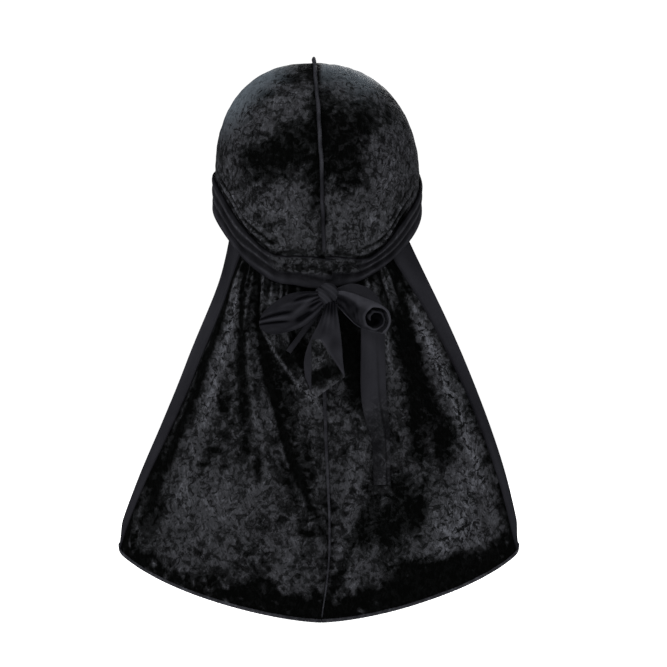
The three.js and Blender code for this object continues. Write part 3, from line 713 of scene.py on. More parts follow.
def cape_form(across, down):
    """The cape's smooth form: each line down it starts under the crown's rim, hangs and then flares to a hem
    that dips in the middle, with its sides drawn forward and its corners rounded off."""
    side = np.where(across < 0, -1.0, 1.0)
    from_seam = np.abs(across)
    top = placed(on_rim(side * lerp(180, BEHIND_EAR, from_seam)), -CAPE["inset"])
    top[..., 2] -= RIM_GAP
    turn = np.pi / 2 * across
    power = 2 / CAPE["hem_round"]
    spread = signed_power(np.sin(turn), power)
    foot = vec(
        CAPE["shift"] + CAPE["half_width"] * spread,
        CAPE["back_y"] + CAPE["edge_forward"] * spread * spread,
        CAPE["corner_z"] - CAPE["hem_dip"] * np.maximum(0, np.cos(turn)) ** power,
    )
    hang = lerp(CAPE["left_hang"], CAPE["right_hang"], smooth(across, -1, 1))
    hanging = top - vec(0, 0, hang)
    flare = lerp(hanging, foot, CAPE["flare"])
    point = bezier(top, hanging, flare, foot, down * (1 + CAPE["evenness"] * (1 - down)))
    point[..., 0] += CAPE["sway"] * (1 + across) / 2 * np.abs(np.sin(np.pi * down)) ** 1.6
    low = bell((down - 0.8) / 0.2)
    middle = np.maximum(0, 1 - across * across) ** 3
    point[..., 0] += (CAPE["flank"] * spread + CAPE["seam_drift"] * middle) * low
    point[..., 0] += CAPE["left_draw"] * smooth(-across, 0.5, 1) * (1 - smooth(down, 0.2, 0.45))
    corner = CORNER["inset"] * side * smooth(from_seam, CORNER["across"], 1)
    point[..., 0] -= corner * smooth(down, CORNER["down"], 1)
    return point


def cape_relief(across, down):
    """Height of the cape's fullness, folds and gathers above its smooth form, in millimetres."""
    full = CAPE["bulge"] * (1 - across * across) * smooth(down, 0.04, 0.16) * (1 - smooth(down, 0.2, 0.6))
    pleats = 0.5 + 0.5 * np.cos(2 * np.pi * 6 * across)
    pleating = smooth(down, 0.035, 0.09) * (1 - smooth(down, 0.1, 0.3))
    return full + ridges(FOLDS, across, down) + 0.7 * pleats * pleating


def cape_reach(down):
    """Millimetres of cloth from the seam to a side edge at a place down the cape."""
    return lerp(CAPE["top_reach"], CAPE["hem_reach"], down)


def cape_cloth(across, down):
    """Places on the flat cape in millimetres."""
    return across * cape_reach(down), down * CAPE_LENGTH


def cape_detail(across, down):
    """Height of the fine folds and the crush between them."""
    a, d = cape_cloth(across, down)
    crush = 0.3 * ripple(a, d, 19, 21) + 0.2 * ripple(a, d, 8, 22)
    gathers = 0.9 * ripple(a, d * 0.12, 9, 23) * smooth(down, 0.02, 0.06) * (1 - smooth(down, 0.08, 0.3))
    fine = settings().fold_depth * (ridges(FINE_FOLDS, across, down) + gathers)
    return fine + crush * smooth(down, 0.03, 0.15)


def cape_point(across, down, offset, detail=0.0):
    """The cape's form moved along its normal by its relief and an offset."""
    across, down, offset = np.broadcast_arrays(across, down, offset)
    step = 1e-3
    point = cape_form(across, down)
    inward = np.where(np.abs(across) > 0.5, -np.sign(across) * step, step)
    upward = np.where(down > 0.5, -step, step)
    by_across = (cape_form(across + inward, down) - point) * np.sign(inward)[..., None]
    by_down = (cape_form(across, down + upward) - point) * np.sign(upward)[..., None]
    normal = unit(np.cross(by_down, by_across))
    return point + normal * (cape_relief(across, down) + detail + offset)[..., None]


def cape_at(x, z):
    """The cape's points at given x and z, found by turns in both directions."""
    across, down = x / CAPE["half_width"], np.full(np.shape(x), 0.3)
    for _ in range(SEARCH_TURNS):
        here = cape_point(across, down, 0.0)
        down = np.clip(down + (here[..., 2] - z) / SEARCH_DROP, 0, 1)
        across = np.clip(across + (x - here[..., 0]) / CAPE["half_width"], -1, 1)
    return cape_point(across, down, 0.0)


def facing_start(side, down):
    """Where the velvet stops and the side facing starts, at a place down the cape."""
    width = FACING["left_width"] if side < 0 else FACING["right_width"]
    return 1 - width / cape_reach(smooth(down, 0, 0.9))


def cape_pile_and_light(point, relief, across, down, share):
    """How light the cape's pile lies, with painted light and shade in it: painted light on ridges and left
    slopes, painted shade in valleys, at the top under the strap and along the line beside the facing, and a
    ragged darker band above the hem."""
    slope = np.gradient(relief, axis=0) / np.gradient(across * cape_reach(down), axis=0)
    value = 0.56 + 0.03 * relief + 0.35 * np.clip(slope, -0.6, 0.6)
    value = value + patches(CAPE_PILE_AND_LIGHT, point[..., 0], point[..., 2]) + ridges(CAPE_FOLD_LIGHT_LINES, across, down)
    edge = 0.9 - 0.03 * smooth(across, -0.2, 0.5)
    edge = edge + 0.02 * np.sin(across * 9 + 1) + 0.012 * np.sin(across * 31)
    band = smooth(down, edge, edge + 0.05)
    mottle = np.maximum(0, ripple(across * CAPE["hem_reach"], down * CAPE_LENGTH, 11, 24) - 0.15)
    value = value - 0.1 * band * (3 + 3 * smooth(across, -0.55, -0.15)) + 0.5 * band * mottle
    value = value - 0.3 * smooth(share, 0.92, 0.99)
    return value - 0.3 * (1 - smooth(down, 0.05, 0.2))


def make_cape():
    """The cape's two velvet panels, gathered under the strap."""
    for name, side in SIDES:
        share, place, _, half = cloth_grid(**CAPE_PANEL, thickness=VELVET)
        down = place * PANEL_DOWN
        across = side * share * facing_start(side, down)
        fade = rounded_off(share, place, CAPE_PANEL["width"], CAPE_PANEL["length"], 5, 5)
        detail = cape_detail(across, down) * fade
        faces = [cape_point(across, down, sign * half - VELVET / 2, detail) for sign in FACES]
        faces = [sewn(face, side, share, 20) for face in faces]
        # Pile tone with painted light and shade from the folds' height and slope.
        relief = cape_relief(across, down) - 2 + detail
        looks = (cape_pile_and_light(faces[0], relief, across, down, share), 0.0)
        cloth = cape_cloth(across, down)
        wall("cape_" + name, "cape_panel_" + name, *faces, cloth, looks, CRUSHED_VELVET, KNIT_BACK)


def make_facing(name, side):
    """The smooth facing down one side: a wall that thickens towards its middle and laps over the velvet."""
    share, place, flat, _ = cloth_grid(**FACING_GRID)
    down = place * PANEL_DOWN
    start = facing_start(side, down) - FACING["overlap"] / cape_reach(down)
    body = 0.36 + 0.14 * np.sin(np.pi * share)
    edges = rounded_off(share, place, FACING_GRID["width"], FACING_GRID["length"], 1.6)
    half = body * FACING["thickness"] * edges
    across = side * lerp(start, 1, share)
    sag = 0.35 * ripple(*flat, 30, 31 + side) * np.sin(np.pi * share)
    lift = FACING["lift"] * (1 - smooth(flat[0], FACING["overlap"], FACING["overlap"] + 1.5))
    faces = [cape_point(across, down, sign * half - VELVET / 2 + lift, sag) for sign in FACES]
    # Painted shade along the facing's inner edge, where it laps over the velvet.
    tone = 0.42 + 0.12 * ripple(flat[0], place * 60, 30, 8) - 0.25 * (1 - smooth(share, 0.02, 0.12))
    return wall("cape_side_" + name, "cape_facing_" + name, *faces, flat, (tone, 1.0), PLAIN_SATIN)


def make_hem(name, side):
    """Half of the rolled hem, from the seam to a corner: an oval tube along the cape's foot."""
    turn, along, run, ends, nip = stitched(**HEM_STITCHES)
    clearance = 2.6 * GAP / CAPE_LENGTH
    reach = (HEM_MIDDLE - HEM_DOWN - clearance / 2) * ends
    low = HEM_MIDDLE + clearance / 2 + reach * np.cos(turn) * nip
    offset = -VELVET / 2 + settings().hem_thickness / MM / 2 * np.sin(turn) * ends * nip
    rings = cape_point(side * along, low, offset, 0.25 * ripple(run, 0 * along, 16, 41))
    rings = sewn(rings, side, along, 30)
    tone = 0.8 + 0.2 * ripple(run, turn, 12, 42)
    return tube("hem_" + name, "cape_hem_" + name, rings, (run, turn * 1.5), (tone, 0.55), CRUSHED_VELVET)


def make_cape_ridge():
    """The cape's centre seam: an oval tube along it that wanders a little."""
    turn, along, run, ends, nip = stitched(**CAPE_STITCHES)
    down = lerp(CAPE_SEAM["start"], HEM_DOWN, along)
    wander = (0.5 * np.sin(along * 23) + 0.3 * np.sin(along * 57)) / CAPE_PANEL["width"]
    width = CAPE_SEAM["width"] / 2 * np.cos(turn) * ends / cape_reach(down)
    rise = CAPE_SEAM["height"] / 2 * (1 + np.sin(turn) * ends * nip) - SEWN
    rings = cape_point(width + wander * smooth(rise, 0.5, 2), down, rise)
    tone = 0.42 + 0.2 * smooth(along, 0.35, 0.6) + 0.15 * ripple(run, turn, 14, 43)
    tube("cape_ridge", "cape_seam", rings, (run, turn * 1.2), (tone, 0.7), SEAM_CLOTH)


def make_trim():
    """The cape's smooth side facings, its rolled hem and its centre seam."""
    for name, side in SIDES:
        facing, hem = make_facing(name, side), [make_hem(name, side)]
    make_cape_ridge()


# ---- Bow ----

KNOT = dict(
    x=8,
    y=-96.3,
    z=-188.5,
    half_width=10.5,
    half_depth=8,
    half_height=9,
    lay=-42,  # degrees that its strands slant
    strands=2.6,
    creases=15,
    sides=96,
    rings=72,
)
KNOT_CENTRE = np.array([KNOT["x"], KNOT["y"], KNOT["z"]], float)
LOOP = dict(length=53, droop=25.5, root=4, layers=7.5, pull_in=0.17, lean=2.2, bulge=1.6)
LOOP_WIDTHS = table("at half", (0, 5.5), (0.25, 10.5), (0.5, 13.6), (0.75, 13), (1, 10.5))

# Creases of the left loop. Places across run from -1 at its lower edge to 1 at its upper edge, and places out
# from 0 at the knot to 1 at its far end.
LOOP_CREASES = table(
    "top foot spread height start until",
    (-0.35, 0.55, 0.1, -2.2, 0.42, 1.2),
    (-1.25, 0.26, 0.09, -2.0, 0.55, 1.2),
    (-0.8, 0.42, 0.14, 1.5, 0.45, 1.2),
    (0.52, -0.83, 0.16, 1.8, 0.05, 0.6),
    (0.85, 0.1, 0.1, -1.3, 0.03, 0.55),
    (-0.5, -0.5, 0.16, -2.2, 0.2, 0.62),
    (-0.1, -0.2, 0.1, -1.2, 0.02, 0.3),
    (0.3, 0.75, 0.12, 1.0, 0.05, 0.8),
    (-0.75, -0.85, 0.1, 1.0, 0.1, 0.9),
)
SCROLL = table(
    "at x y z radius depth turn turns",
    (0, 6, -1, -1, 5, 0.6, 0, 0.8),
    (0.25, 14, -3, -6, 10.5, 0.5, 8, 0.95),
    (0.5, 23, -6, -12, 14.8, 0.55, 30, 1.2),
    (0.75, 32, -9, -16.5, 14.6, 0.8, 65, 1.5),
    (0.93, 36.5, -14, -18, 13.6, 1, 84, 1.65),
    (1, 38, -16, -18.5, 11.8, 1, 90, 1.7),
)
SCROLL_PITCH = 0.34
SCROLL_START = -60
LONG_TAIL = table(
    "at x z half y",
    (0, 8, 1, 5, 4),
    (0.1, 21, 1, 8.5, 8),
    (0.2, 32.5, -7, 9.6, 13),
    (0.3, 35.5, -24, 9.2, 20),
    (0.55, 36.5, -75, 10.1, 20),
    (0.72, 39.6, -98, 9, 20),
    (0.8, 42, -111, 7.2, 20),
    (1, 43, -147, 6.6, 20),
)
SHORT_TAIL = table(
    "at x z half y",
    (0, 3.5, -5, 3.8, -4.5),
    (0.25, 2, -20, 7.5, -6),
    (0.5, -1, -36, 12.5, -8),
    (0.75, -2.5, -50, 15, -9),
    (1, -1.5, -63, 15.5, -8),
)
SHORT_TAIL_POINT = 17
TUCK = dict(from_x=-6, from_z=-11, to_x=-30, to_z=-44, width=4.4, y=2)

# The grids of the bow's walls, and their sizes.
LOOP_GRID = dict(rows=52, width=26, columns=230, length=110)
SCROLL_GRID = dict(rows=240, width=95, columns=90, length=42)
LONG_GRID = dict(rows=26, width=19, columns=190, length=190)
SHORT_GRID = dict(rows=60, width=30, columns=130, length=75)
TUCK_GRID = dict(rows=8, width=TUCK["width"], columns=60, length=55, edge=0.8)


def make_knot():
    """A tight ball, wrapped by slanting strands: rings from pole to pole whose radius swells over each strand
    and drops sharply between them."""
    turn = np.linspace(0, 2 * np.pi, KNOT["sides"], endpoint=False)[None, :]
    fall = np.linspace(0.02, np.pi - 0.02, KNOT["rings"])[:, None]
    ball = vec(np.sin(fall) * np.cos(turn), np.sin(fall) * np.sin(turn), np.cos(fall))
    x, y = ball[..., 0], ball[..., 1]
    bent = x + 0.22 * ball[..., 2] ** 2 - 0.1 * y
    strands = np.abs(np.cos(KNOT["strands"] * np.pi * bent / 2 + 0.5)) ** 0.5
    fine = np.cos(KNOT["creases"] * np.pi * bent / 2 + 3 * ball[..., 2])
    swell = 0.93 + 0.1 * strands * (1 - 0.4 * y * y) + 0.012 * fine
    points = ball * swell[..., None] * np.array([KNOT["half_width"], KNOT["half_depth"], KNOT["half_height"]])
    lay = math.radians(KNOT["lay"])
    x, z = points[..., 0], points[..., 2]
    rings = vec(x * math.cos(lay) + z * math.sin(lay), points[..., 1], z * math.cos(lay) - x * math.sin(lay))
    # Painted light on the strands and painted shade in the grooves between them.
    tone = 0.08 + 0.5 * strands + 0.1 * fine
    tube("knot_ball", "knot", rings + KNOT_CENTRE, (turn * 8, fall * 9), (tone, 1.0), PLAIN_SATIN)


def loop_layer(across, along, offset):
    """The left loop's cloth: out from the knot, round at its far end and back behind itself. Its layers bulge
    apart as a sine, its width follows a table, its corners pull in, and creases run out from the knot."""
    droop = math.radians(LOOP["droop"])
    out = np.array([-math.cos(droop), 0, -math.sin(droop)])
    up = np.array([-math.sin(droop), 0, math.cos(droop)])
    q = 2 * across - 1

    def middle(place):
        turn = 2 * np.pi * place
        return (1 - np.cos(turn)) / 2, -LOOP["layers"] * np.sin(turn) - LOOP["lean"] * np.cos(turn / 2)

    away, depth = middle(along)
    away_after, depth_after = middle(along + 1e-3)
    slope = LOOP["length"] * (away_after - away)
    normal = unit(out * -(depth_after - depth)[..., None] + vec(0, slope, 0))
    reach = LOOP["root"] + LOOP["length"] * away * (1 - LOOP["pull_in"] * q * q)
    gathers = 0.7 * np.cos(np.pi * 5 * q + 0.6) * (1 - smooth(away, 0.1, 0.45))
    relief = ridges(LOOP_CREASES, q, away) + gathers + 0.15 * ripple(q * 12, away * 50, 8, 51)
    edge = 1 - smooth(np.abs(q), 0.8, 1)
    bulge = -LOOP["bulge"] * (1 - q * q) * np.sin(np.pi * away)
    y = depth + np.where(along < 0.5, 1, -1) * bulge - relief * (0.3 + 0.7 * edge)
    width = q * between(LOOP_WIDTHS, away)["half"]
    point = KNOT_CENTRE + out * reach[..., None] + up * width[..., None] + vec(0, y, 0)
    return point + normal * np.asarray(offset)[..., None], relief


def make_left_loop():
    """The flat creased loop on the left, with painted shade in its creases and painted light on its ridges.
    """
    across, along, flat, half = cloth_grid(**LOOP_GRID)
    (outer, relief), (inner, _) = (loop_layer(across, along, sign * half) for sign in (-1, 1))
    slope = np.gradient(relief, axis=0) / np.gradient(flat[0], axis=0)
    # Painted light and shade from the creases' height and slope.
    tone = 0.24 + 0.16 * relief + 0.22 * np.clip(slope, -1, 1)
    return wall("loop_left", "bow_loop_left", outer, inner, flat, (tone, 1.0), PLAIN_SATIN)


def make_right_loop():
    """The rolled loop on the right: a spiral whose centre, size and turns follow a table along it."""
    across, along, flat, half = cloth_grid(**SCROLL_GRID)
    row = between(SCROLL, along)
    turned = row["turns"] * across
    turn = math.radians(SCROLL_START) + 2 * np.pi * turned
    pleats = 0.55 * np.cos(7 * turn + 3 * along) * (1 - smooth(along, 0.15, 0.6))
    crush = 0.25 * ripple(turned * 60, flat[1], 9, 52)
    swing = np.radians(row["turn"])
    centre = KNOT_CENTRE + vec(row["x"], row["y"], row["z"])
    faces = []
    for sign in FACES:
        radius = row["radius"] * (1 - SCROLL_PITCH * turned) - STRAP / 2 + sign * half + pleats + crush
        sideways = row["depth"] * radius * np.cos(turn)
        turned_to = vec(np.sin(swing), np.cos(swing), 0) * sideways[..., None]
        faces.append(centre + turned_to + vec(0, 0, radius * np.sin(turn)))
    around = np.degrees(turn)
    # Painted light and shade round the roll: lit on top, painted shade in a crease and in the funnel of its
    # mouth, painted highlight at its open end and on the pleats' tops, and painted shade on the innermost
    # turn.
    shade = 0.9 - 0.8 * smooth(around, 132, 156) + 0.5 * smooth(around, 246, 262)
    shade = shade - 0.3 * smooth(around, 280, 300) - 0.3 * bell((around - 142) / 9)
    tone = lerp(shade, 0.3, smooth(along, 0.6, 0.9) * smooth(around, 110, 150))
    tone = tone + 0.3 * smooth(along, 0.965, 0.99) + 0.15 * pleats + 0.3 * crush
    tone = tone - 0.25 * smooth(turned, 0.95, 1.1)
    return wall("loop_right", "bow_loop_right", *faces, flat, (tone, 1.0), PLAIN_SATIN)


def make_loops():
    """The bow's two loops."""
    left, right = make_left_loop(), make_right_loop()


def strip(line, ahead, half, q):
    """x and z of a strip: its line's points, moved by half times q square to the line's way ahead."""
    (x, z), (dx, dz) = line, ahead
    length = np.hypot(dx, dz)
    return KNOT["x"] + x - dz / length * half * q, KNOT["z"] + z + dx / length * half * q


def hanging_wall(name, node, x, y, z, half, flat, looks):
    """A wall of the strap's cloth with its middle at y."""
    faces = [vec(x, y - sign * half, z) for sign in FACES]
    return wall(name, node, *faces, flat, looks, PLAIN_SATIN)


def make_long_tail():
    """The long tail: a strip along a table's line that lies on the cape and has one crease."""
    across, along, flat, half = cloth_grid(**LONG_GRID)
    q = 1 - 2 * across
    row, before, after = (between(LONG_TAIL, np.clip(along + step, 0, 1)) for step in (0, -0.01, 0.01))
    ahead = (after["x"] - before["x"], after["z"] - before["z"])
    x, z = strip((row["x"], row["z"]), ahead, row["half"], q)
    resting = cape_at(x[::9, ::8], z[::9, ::8])[..., 1]
    lines = np.stack([np.interp(np.arange(x.shape[1]), np.arange(0, x.shape[1], 8), r) for r in resting])
    resting = np.stack([np.interp(np.arange(x.shape[0]), np.arange(0, x.shape[0], 9), c) for c in lines.T], 1)
    hang = 1.1 * np.cos(q * 1.6) + 0.35 * ripple(q * 10, along * 170, 34, 61)
    crease = 0.6 * bell((q - 0.25 - 0.3 * along) / 0.09) * smooth(along, 0.3, 0.5)
    middle = np.minimum(KNOT["y"] + row["y"], resting - GAP - 1 - hang * 0.6) - crease - STRAP / 2
    # Painted shade in the crease and towards both edges.
    tone = 0.52 - 0.1 * q * q - 0.3 * crease + 0.06 * ripple(q * 10, along * 60, 30, 64)
    plain = 1 - 0.75 * smooth(along + 0.04 * q, 0.5, 0.75)
    return hanging_wall("long_tail", "tail_long", x, middle, z, half, flat, (tone, plain))


def make_short_tail():
    """The short tail: pleated at the knot, with a slanting end and a turned up strip of velvet inside."""
    across, along, flat, half = cloth_grid(**SHORT_GRID)
    place = 2 * across - 1
    row = between(SHORT_TAIL, along)
    peak = np.where(place < -0.5, (place + 1) / 0.5, (1 - place) / 1.5)
    x = KNOT["x"] + row["x"] + place * row["half"]
    z = KNOT["z"] + row["z"] - SHORT_TAIL_POINT * peak * along**3
    pleats = 0.4 * np.cos(np.pi * 4 * place + 1) * (1 - smooth(along, 0.1, 0.5))
    turn_up = 1.1 * smooth(place, 0.1, 0.25) * smooth(along, 0.45, 0.6)
    wave = 0.4 * ripple(place * 14, along * 70, 20, 62)
    y = KNOT["y"] + row["y"] - 1.2 * np.cos(2 * place) - pleats - turn_up - wave - STRAP / 2
    right, fall = x - KNOT["x"], KNOT["z"] - z
    inside = smooth(right, -12.4, -11.4) * smooth(fall, 33, 35)
    slant = fall - 42 - 1.54 * right
    velvet = inside * smooth(slant, -1, 0.5)
    # Painted highlight on the pleats' tops and painted shade just under the knot.
    tone = 0.38 + 0.1 * ripple(place * 14, along * 70, 15, 63) + 0.22 * pleats
    tone = tone - 0.3 * (1 - smooth(fall, 8, 20)) + 0.2 * bell((slant + 1.5) / 1.6) * inside
    low = fall + 0.3 * right
    tone = tone + velvet * (0.24 - 0.5 * bell((low - 61) / 6) + 0.25 * bell((low - 74) / 5))
    return hanging_wall("short_tail", "tail_short", x, y, z, half, flat, (tone, 1 - velvet))


def make_tuck():
    """The narrow tuck under the left loop: a strip along a straight line that keeps clear of the cape."""
    across, along, flat, half = cloth_grid(**TUCK_GRID)
    ahead = (TUCK["to_x"] - TUCK["from_x"], TUCK["to_z"] - TUCK["from_z"])
    q = (across - 0.5) * TUCK["width"]
    line = (lerp(TUCK["from_x"], TUCK["to_x"], along), lerp(TUCK["from_z"], TUCK["to_z"], along))
    x, z = strip(line, ahead, 1, q)
    resting = cape_at(x[::4, ::6], z[::4, ::6])[..., 1].min(0)
    resting = np.interp(np.arange(x.shape[1]), np.arange(0, x.shape[1], 6), resting) - GAP - 0.6
    middle = np.minimum(KNOT["y"] + TUCK["y"] + 6 * along, resting) - STRAP / 2 - 0.5 * np.cos(q * 0.7)
    return hanging_wall("tuck", "strap_tuck", x, middle, z, half, flat, (0.34, 1.0))


def make_tails():
    """The long tail down the cape, the short tail with its slanting end, and the tuck under the left loop."""
    long_one, short_one, tuck = make_long_tail(), make_short_tail(), make_tuck()


# ---- Materials ----


class Value:
    """A number's socket in a shader. Arithmetic on it adds Math nodes."""

    def __init__(self, shader, socket):
        self.shader, self.socket = shader, socket

    def math(self, operation, *others):
        inputs = dict(enumerate([self, *others]))
        return self.shader.value("ShaderNodeMath", "Value", {"operation": operation}, inputs)

    def __add__(self, other):
        return self.math("ADD", other)

    __radd__ = __add__

    def __sub__(self, other):
        return self.math("SUBTRACT", other)

    def __rsub__(self, other):
        return self * -1 + other

    def __mul__(self, other):
        return self.math("MULTIPLY", other)

    __rmul__ = __mul__

    def clamped(self):
        return self.math("MINIMUM", 1.0).math("MAXIMUM", 0.0)


class Shader:
    """The node tree of a material or of the world."""

    def __init__(self, owner):
        self.owner = owner
        owner.use_nodes = True
        self.tree = owner.node_tree
        self.tree.nodes.clear()

    def node(self, kind, options=None, inputs=None):
        """Adds a node: its options first, a ramp's stops among them, then its sockets' values or links."""
        node = self.tree.nodes.new(kind)
        for key, value in (options or {}).items():
            if key == "stops":
                ramp = node.color_ramp
                while len(ramp.elements) < len(value):
                    ramp.elements.new(0.5)
                for element, (place, colour) in zip(ramp.elements, value):
                    element.position, element.color = place, (*colour, 1)
            else:
                setattr(node, key, value)
        for key, value in (inputs or {}).items():
            if isinstance(value, Value):
                self.tree.links.new(value.socket, node.inputs[key])
            else:
                node.inputs[key].default_value = value
        return node

    def value(self, kind, output, options=None, inputs=None):
        """One output of a new node, by name or number."""
        return Value(self, self.node(kind, options, inputs).outputs[output])

    def noise(self, place, scale, detail=3.0, rough=0.55, distortion=0.0, dimensions="3D"):
        """Noise from 0 to 1 at a place, scale features to the metre."""
        inputs = {"Vector": place, "Scale": scale, "Detail": detail, "Roughness": rough}
        inputs["Distortion"] = distortion
        return self.value("ShaderNodeTexNoise", "Fac", {"noise_dimensions": dimensions}, inputs)

    def streaks(self, cloth, turn, scale):
        """Noise in short strokes: its places are turned and then scaled by another number on each axis."""
        turned = self.value("ShaderNodeMapping", "Vector", None, {"Vector": cloth, "Rotation": (0, 0, turn)})
        inputs = {0: turned, 1: scale}
        place = self.value("ShaderNodeVectorMath", "Vector", {"operation": "MULTIPLY"}, inputs)
        return self.noise(place, 1.0, 3.0, 0.65, 0.5, "2D")

    def patches(self, place, scale):
        """Soft-edged cells, each with its own number from 0 to 1."""
        inputs = {"Vector": place, "Scale": scale, "Smoothness": 0.35}
        cells = self.value("ShaderNodeTexVoronoi", "Color", {"feature": "SMOOTH_F1"}, inputs)
        return self.value("ShaderNodeSeparateXYZ", 0, None, {0: cells})

    def weave(self, cloth, direction, scale):
        """Waves across the cloth's threads in one direction."""
        inputs = {"Vector": cloth, "Scale": scale}
        return self.value("ShaderNodeTexWave", "Fac", {"bands_direction": direction}, inputs)

    def blend(self, share, a, b):
        """A colour between two, each a socket or three numbers."""
        a, b = (c if isinstance(c, Value) else (*c, 1) for c in (a, b))
        return self.value("ShaderNodeMix", 2, {"data_type": "RGBA"}, {0: share, 6: a, 7: b})

    def finish(self, inputs):
        """The surface shader, its sockets and the output."""
        surface = self.value("ShaderNodeBsdfPrincipled", 0, None, inputs)
        self.node("ShaderNodeOutputMaterial", None, {0: surface})
        return self.owner


def cloth_material(name):
    """Crushed velvet and plain satin in one: the attribute looks says how light the pile lies, with painted
    light and shade in it, how plain the cloth is and how strong the painted sheen is. The velvet's tone is
    the pile's, broken up by blotches, cracks, short streaks along the cloth and speckle, most where the pile
    is light."""
    props = settings()
    shader = Shader(bpy.data.materials.new(name))
    cloth = shader.value("ShaderNodeAttribute", "Vector", {"attribute_name": "cloth"})
    looks = shader.value("ShaderNodeAttribute", "Vector", {"attribute_name": "looks"})
    parts = shader.node("ShaderNodeSeparateXYZ", None, {0: looks})
    pile, plain, painted_sheen = (Value(shader, socket) for socket in parts.outputs)
    space = shader.value("ShaderNodeTexCoord", "Object")

    per = 1 / props.crush_size
    swirling = {"Vector": space, "Scale": per * 0.8, "Detail": 2.0}
    swirl = shader.value("ShaderNodeTexNoise", "Color", None, swirling)
    shifted = {0: swirl, 1: (0.007,) * 3, 2: space}
    bent = shader.value("ShaderNodeVectorMath", "Vector", {"operation": "MULTIPLY_ADD"}, shifted)
    wide = shader.noise(space, per / 2.4, 3.0, 0.6)
    patch = shader.patches(bent, per)
    fleck = shader.patches(bent, per * 2.2)
    grain = shader.noise(space, per * 3.3, 3.0, 0.7, 0.6)
    blot = shader.noise(bent, per * 1.3, 4.0, 0.65, 0.8)
    one_way = shader.streaks(cloth, 0.45, (740, 165, 1))
    other_way = shader.streaks(cloth, -0.3, (800, 185, 1))
    streak = one_way * patch + other_way * (1 - patch)
    leaning = pile + (wide - 0.5) * 0.5 + (blot - 0.5) * 0.95 + (fleck - 0.5) * 0.22 + (grain - 0.5) * 0.3
    lit = ((leaning - 0.27) * 2.8).clamped()
    specks = ((shader.noise(bent, per * 2.0, 3.0, 0.6, 0.8) - 0.38) * 10).clamped()
    branch = (shader.noise(bent, per * 0.6, 3.0, 0.55, 0.8) - 0.5).math("ABSOLUTE")
    cracked = ((shader.noise(space, per * 0.55, 1.0) - 0.52) * 12).clamped()
    crack = (1 - branch * 34).clamped() * cracked
    uneven = (blot - 0.5) * 0.5 + (fleck - 0.5) * 0.3 + (grain - 0.5) * 0.75 + (streak - 0.5) * 1.25
    broken = uneven * (0.18 + lit * (pile * 1.1 - 0.24)) * (1 - painted_sheen * 0.6)
    hole = (1 - specks) * (pile - 0.2).clamped()
    tone = 0.02 + lit * (0.24 + pile * 0.5) + broken
    tone = (tone * (1.01 - hole) * (1 - crack * 0.7)).clamped()
    places, names = (0.0, 0.34, 0.68, 1.0), ("dark", "mid", "light", "shine")
    stops = [(place, tuple(getattr(props, "velvet_" + n))) for place, n in zip(places, names)]
    nap = shader.value("ShaderNodeValToRGB", "Color", {"stops": stops}, {"Fac": tone})
    # Painted sheen: a cool light colour blended over the nap where the crown's painted sheen lies, broken up
    # by streaks, grain and blots.
    painted_gloss = painted_sheen * painted_sheen * (streak * 1.1 + grain * 0.5 + blot * 0.5 - 0.12)
    painted_gloss = (painted_gloss - (1 - specks) * 0.3 - crack * 0.3).clamped()
    nap = shader.blend(painted_gloss, nap, tuple(props.velvet_painted_sheen))

    rib, weft = shader.weave(cloth, "X", 320.0), shader.weave(cloth, "Y", 250.0)
    cloudy = shader.noise(space, 60.0, 3.0)
    speck = shader.noise(space, 1500.0, 2.0, 0.7)
    sheenish = (pile + (cloudy - 0.5) * 0.3 + (rib - 0.5) * 0.08 + (speck - 0.5) * 0.12).clamped()
    smooth_cloth = shader.blend(sheenish, tuple(props.satin_dark), tuple(props.satin_light))

    nap_rough = 0.8 - tone * 0.25 - painted_sheen * 0.2
    nap_height = patch * 0.4 + grain * 0.4 + streak * 0.6 + specks * 0.35 - crack * 0.4
    weave_height = rib * 0.05 + weft * 0.05 + cloudy * 0.25
    height = nap_height * (1 - plain) + weave_height * plain
    bump = {"Strength": 0.8, "Distance": 0.0007, "Height": height}
    return shader.finish(
        {
            "Base Color": shader.blend(plain, nap, smooth_cloth),
            "Roughness": nap_rough * (1 - plain) + (0.62 - cloudy * 0.1) * plain,
            "Normal": shader.value("ShaderNodeBump", "Normal", None, bump),
            "Specular IOR Level": 0.008,
            "Sheen Weight": props.sheen * SHEENS[name],
            "Sheen Roughness": 0.4,
            "Sheen Tint": (0.75, 0.82, 1.0, 1),
        }
    )


def shared_material(name):
    """The velvet's or the satin's material, made once."""
    return bpy.data.materials.get(name) or cloth_material(name)


# ---- Stage ----

LAMPS = (  # name, place, size and power
    ("key_lamp", (-1.1, -1.3, 0.9), 0.8, 28),
    ("fill_lamp", (1.3, -1.2, 0.4), 0.9, 11),
    ("top_lamp", (0.0, 0.1, 1.5), 1.0, 22),
    ("front_lamp", (0.3, 1.7, 0.6), 1.0, 14),
)
LIT_PLACE = (0, 0, -0.2)  # what the lamps point at
FLOOR = dict(radius=6, sides=64)
CAMERA = dict(lens=132.2, sensor_width=36, clip_start=0.1, clip_end=40)
CAMERA_PLACE = (0.0132, -2.0, -0.218)
WHITE = (1, 1, 1, 1)
COOL_WHITE = (0.93, 0.96, 1, 1)


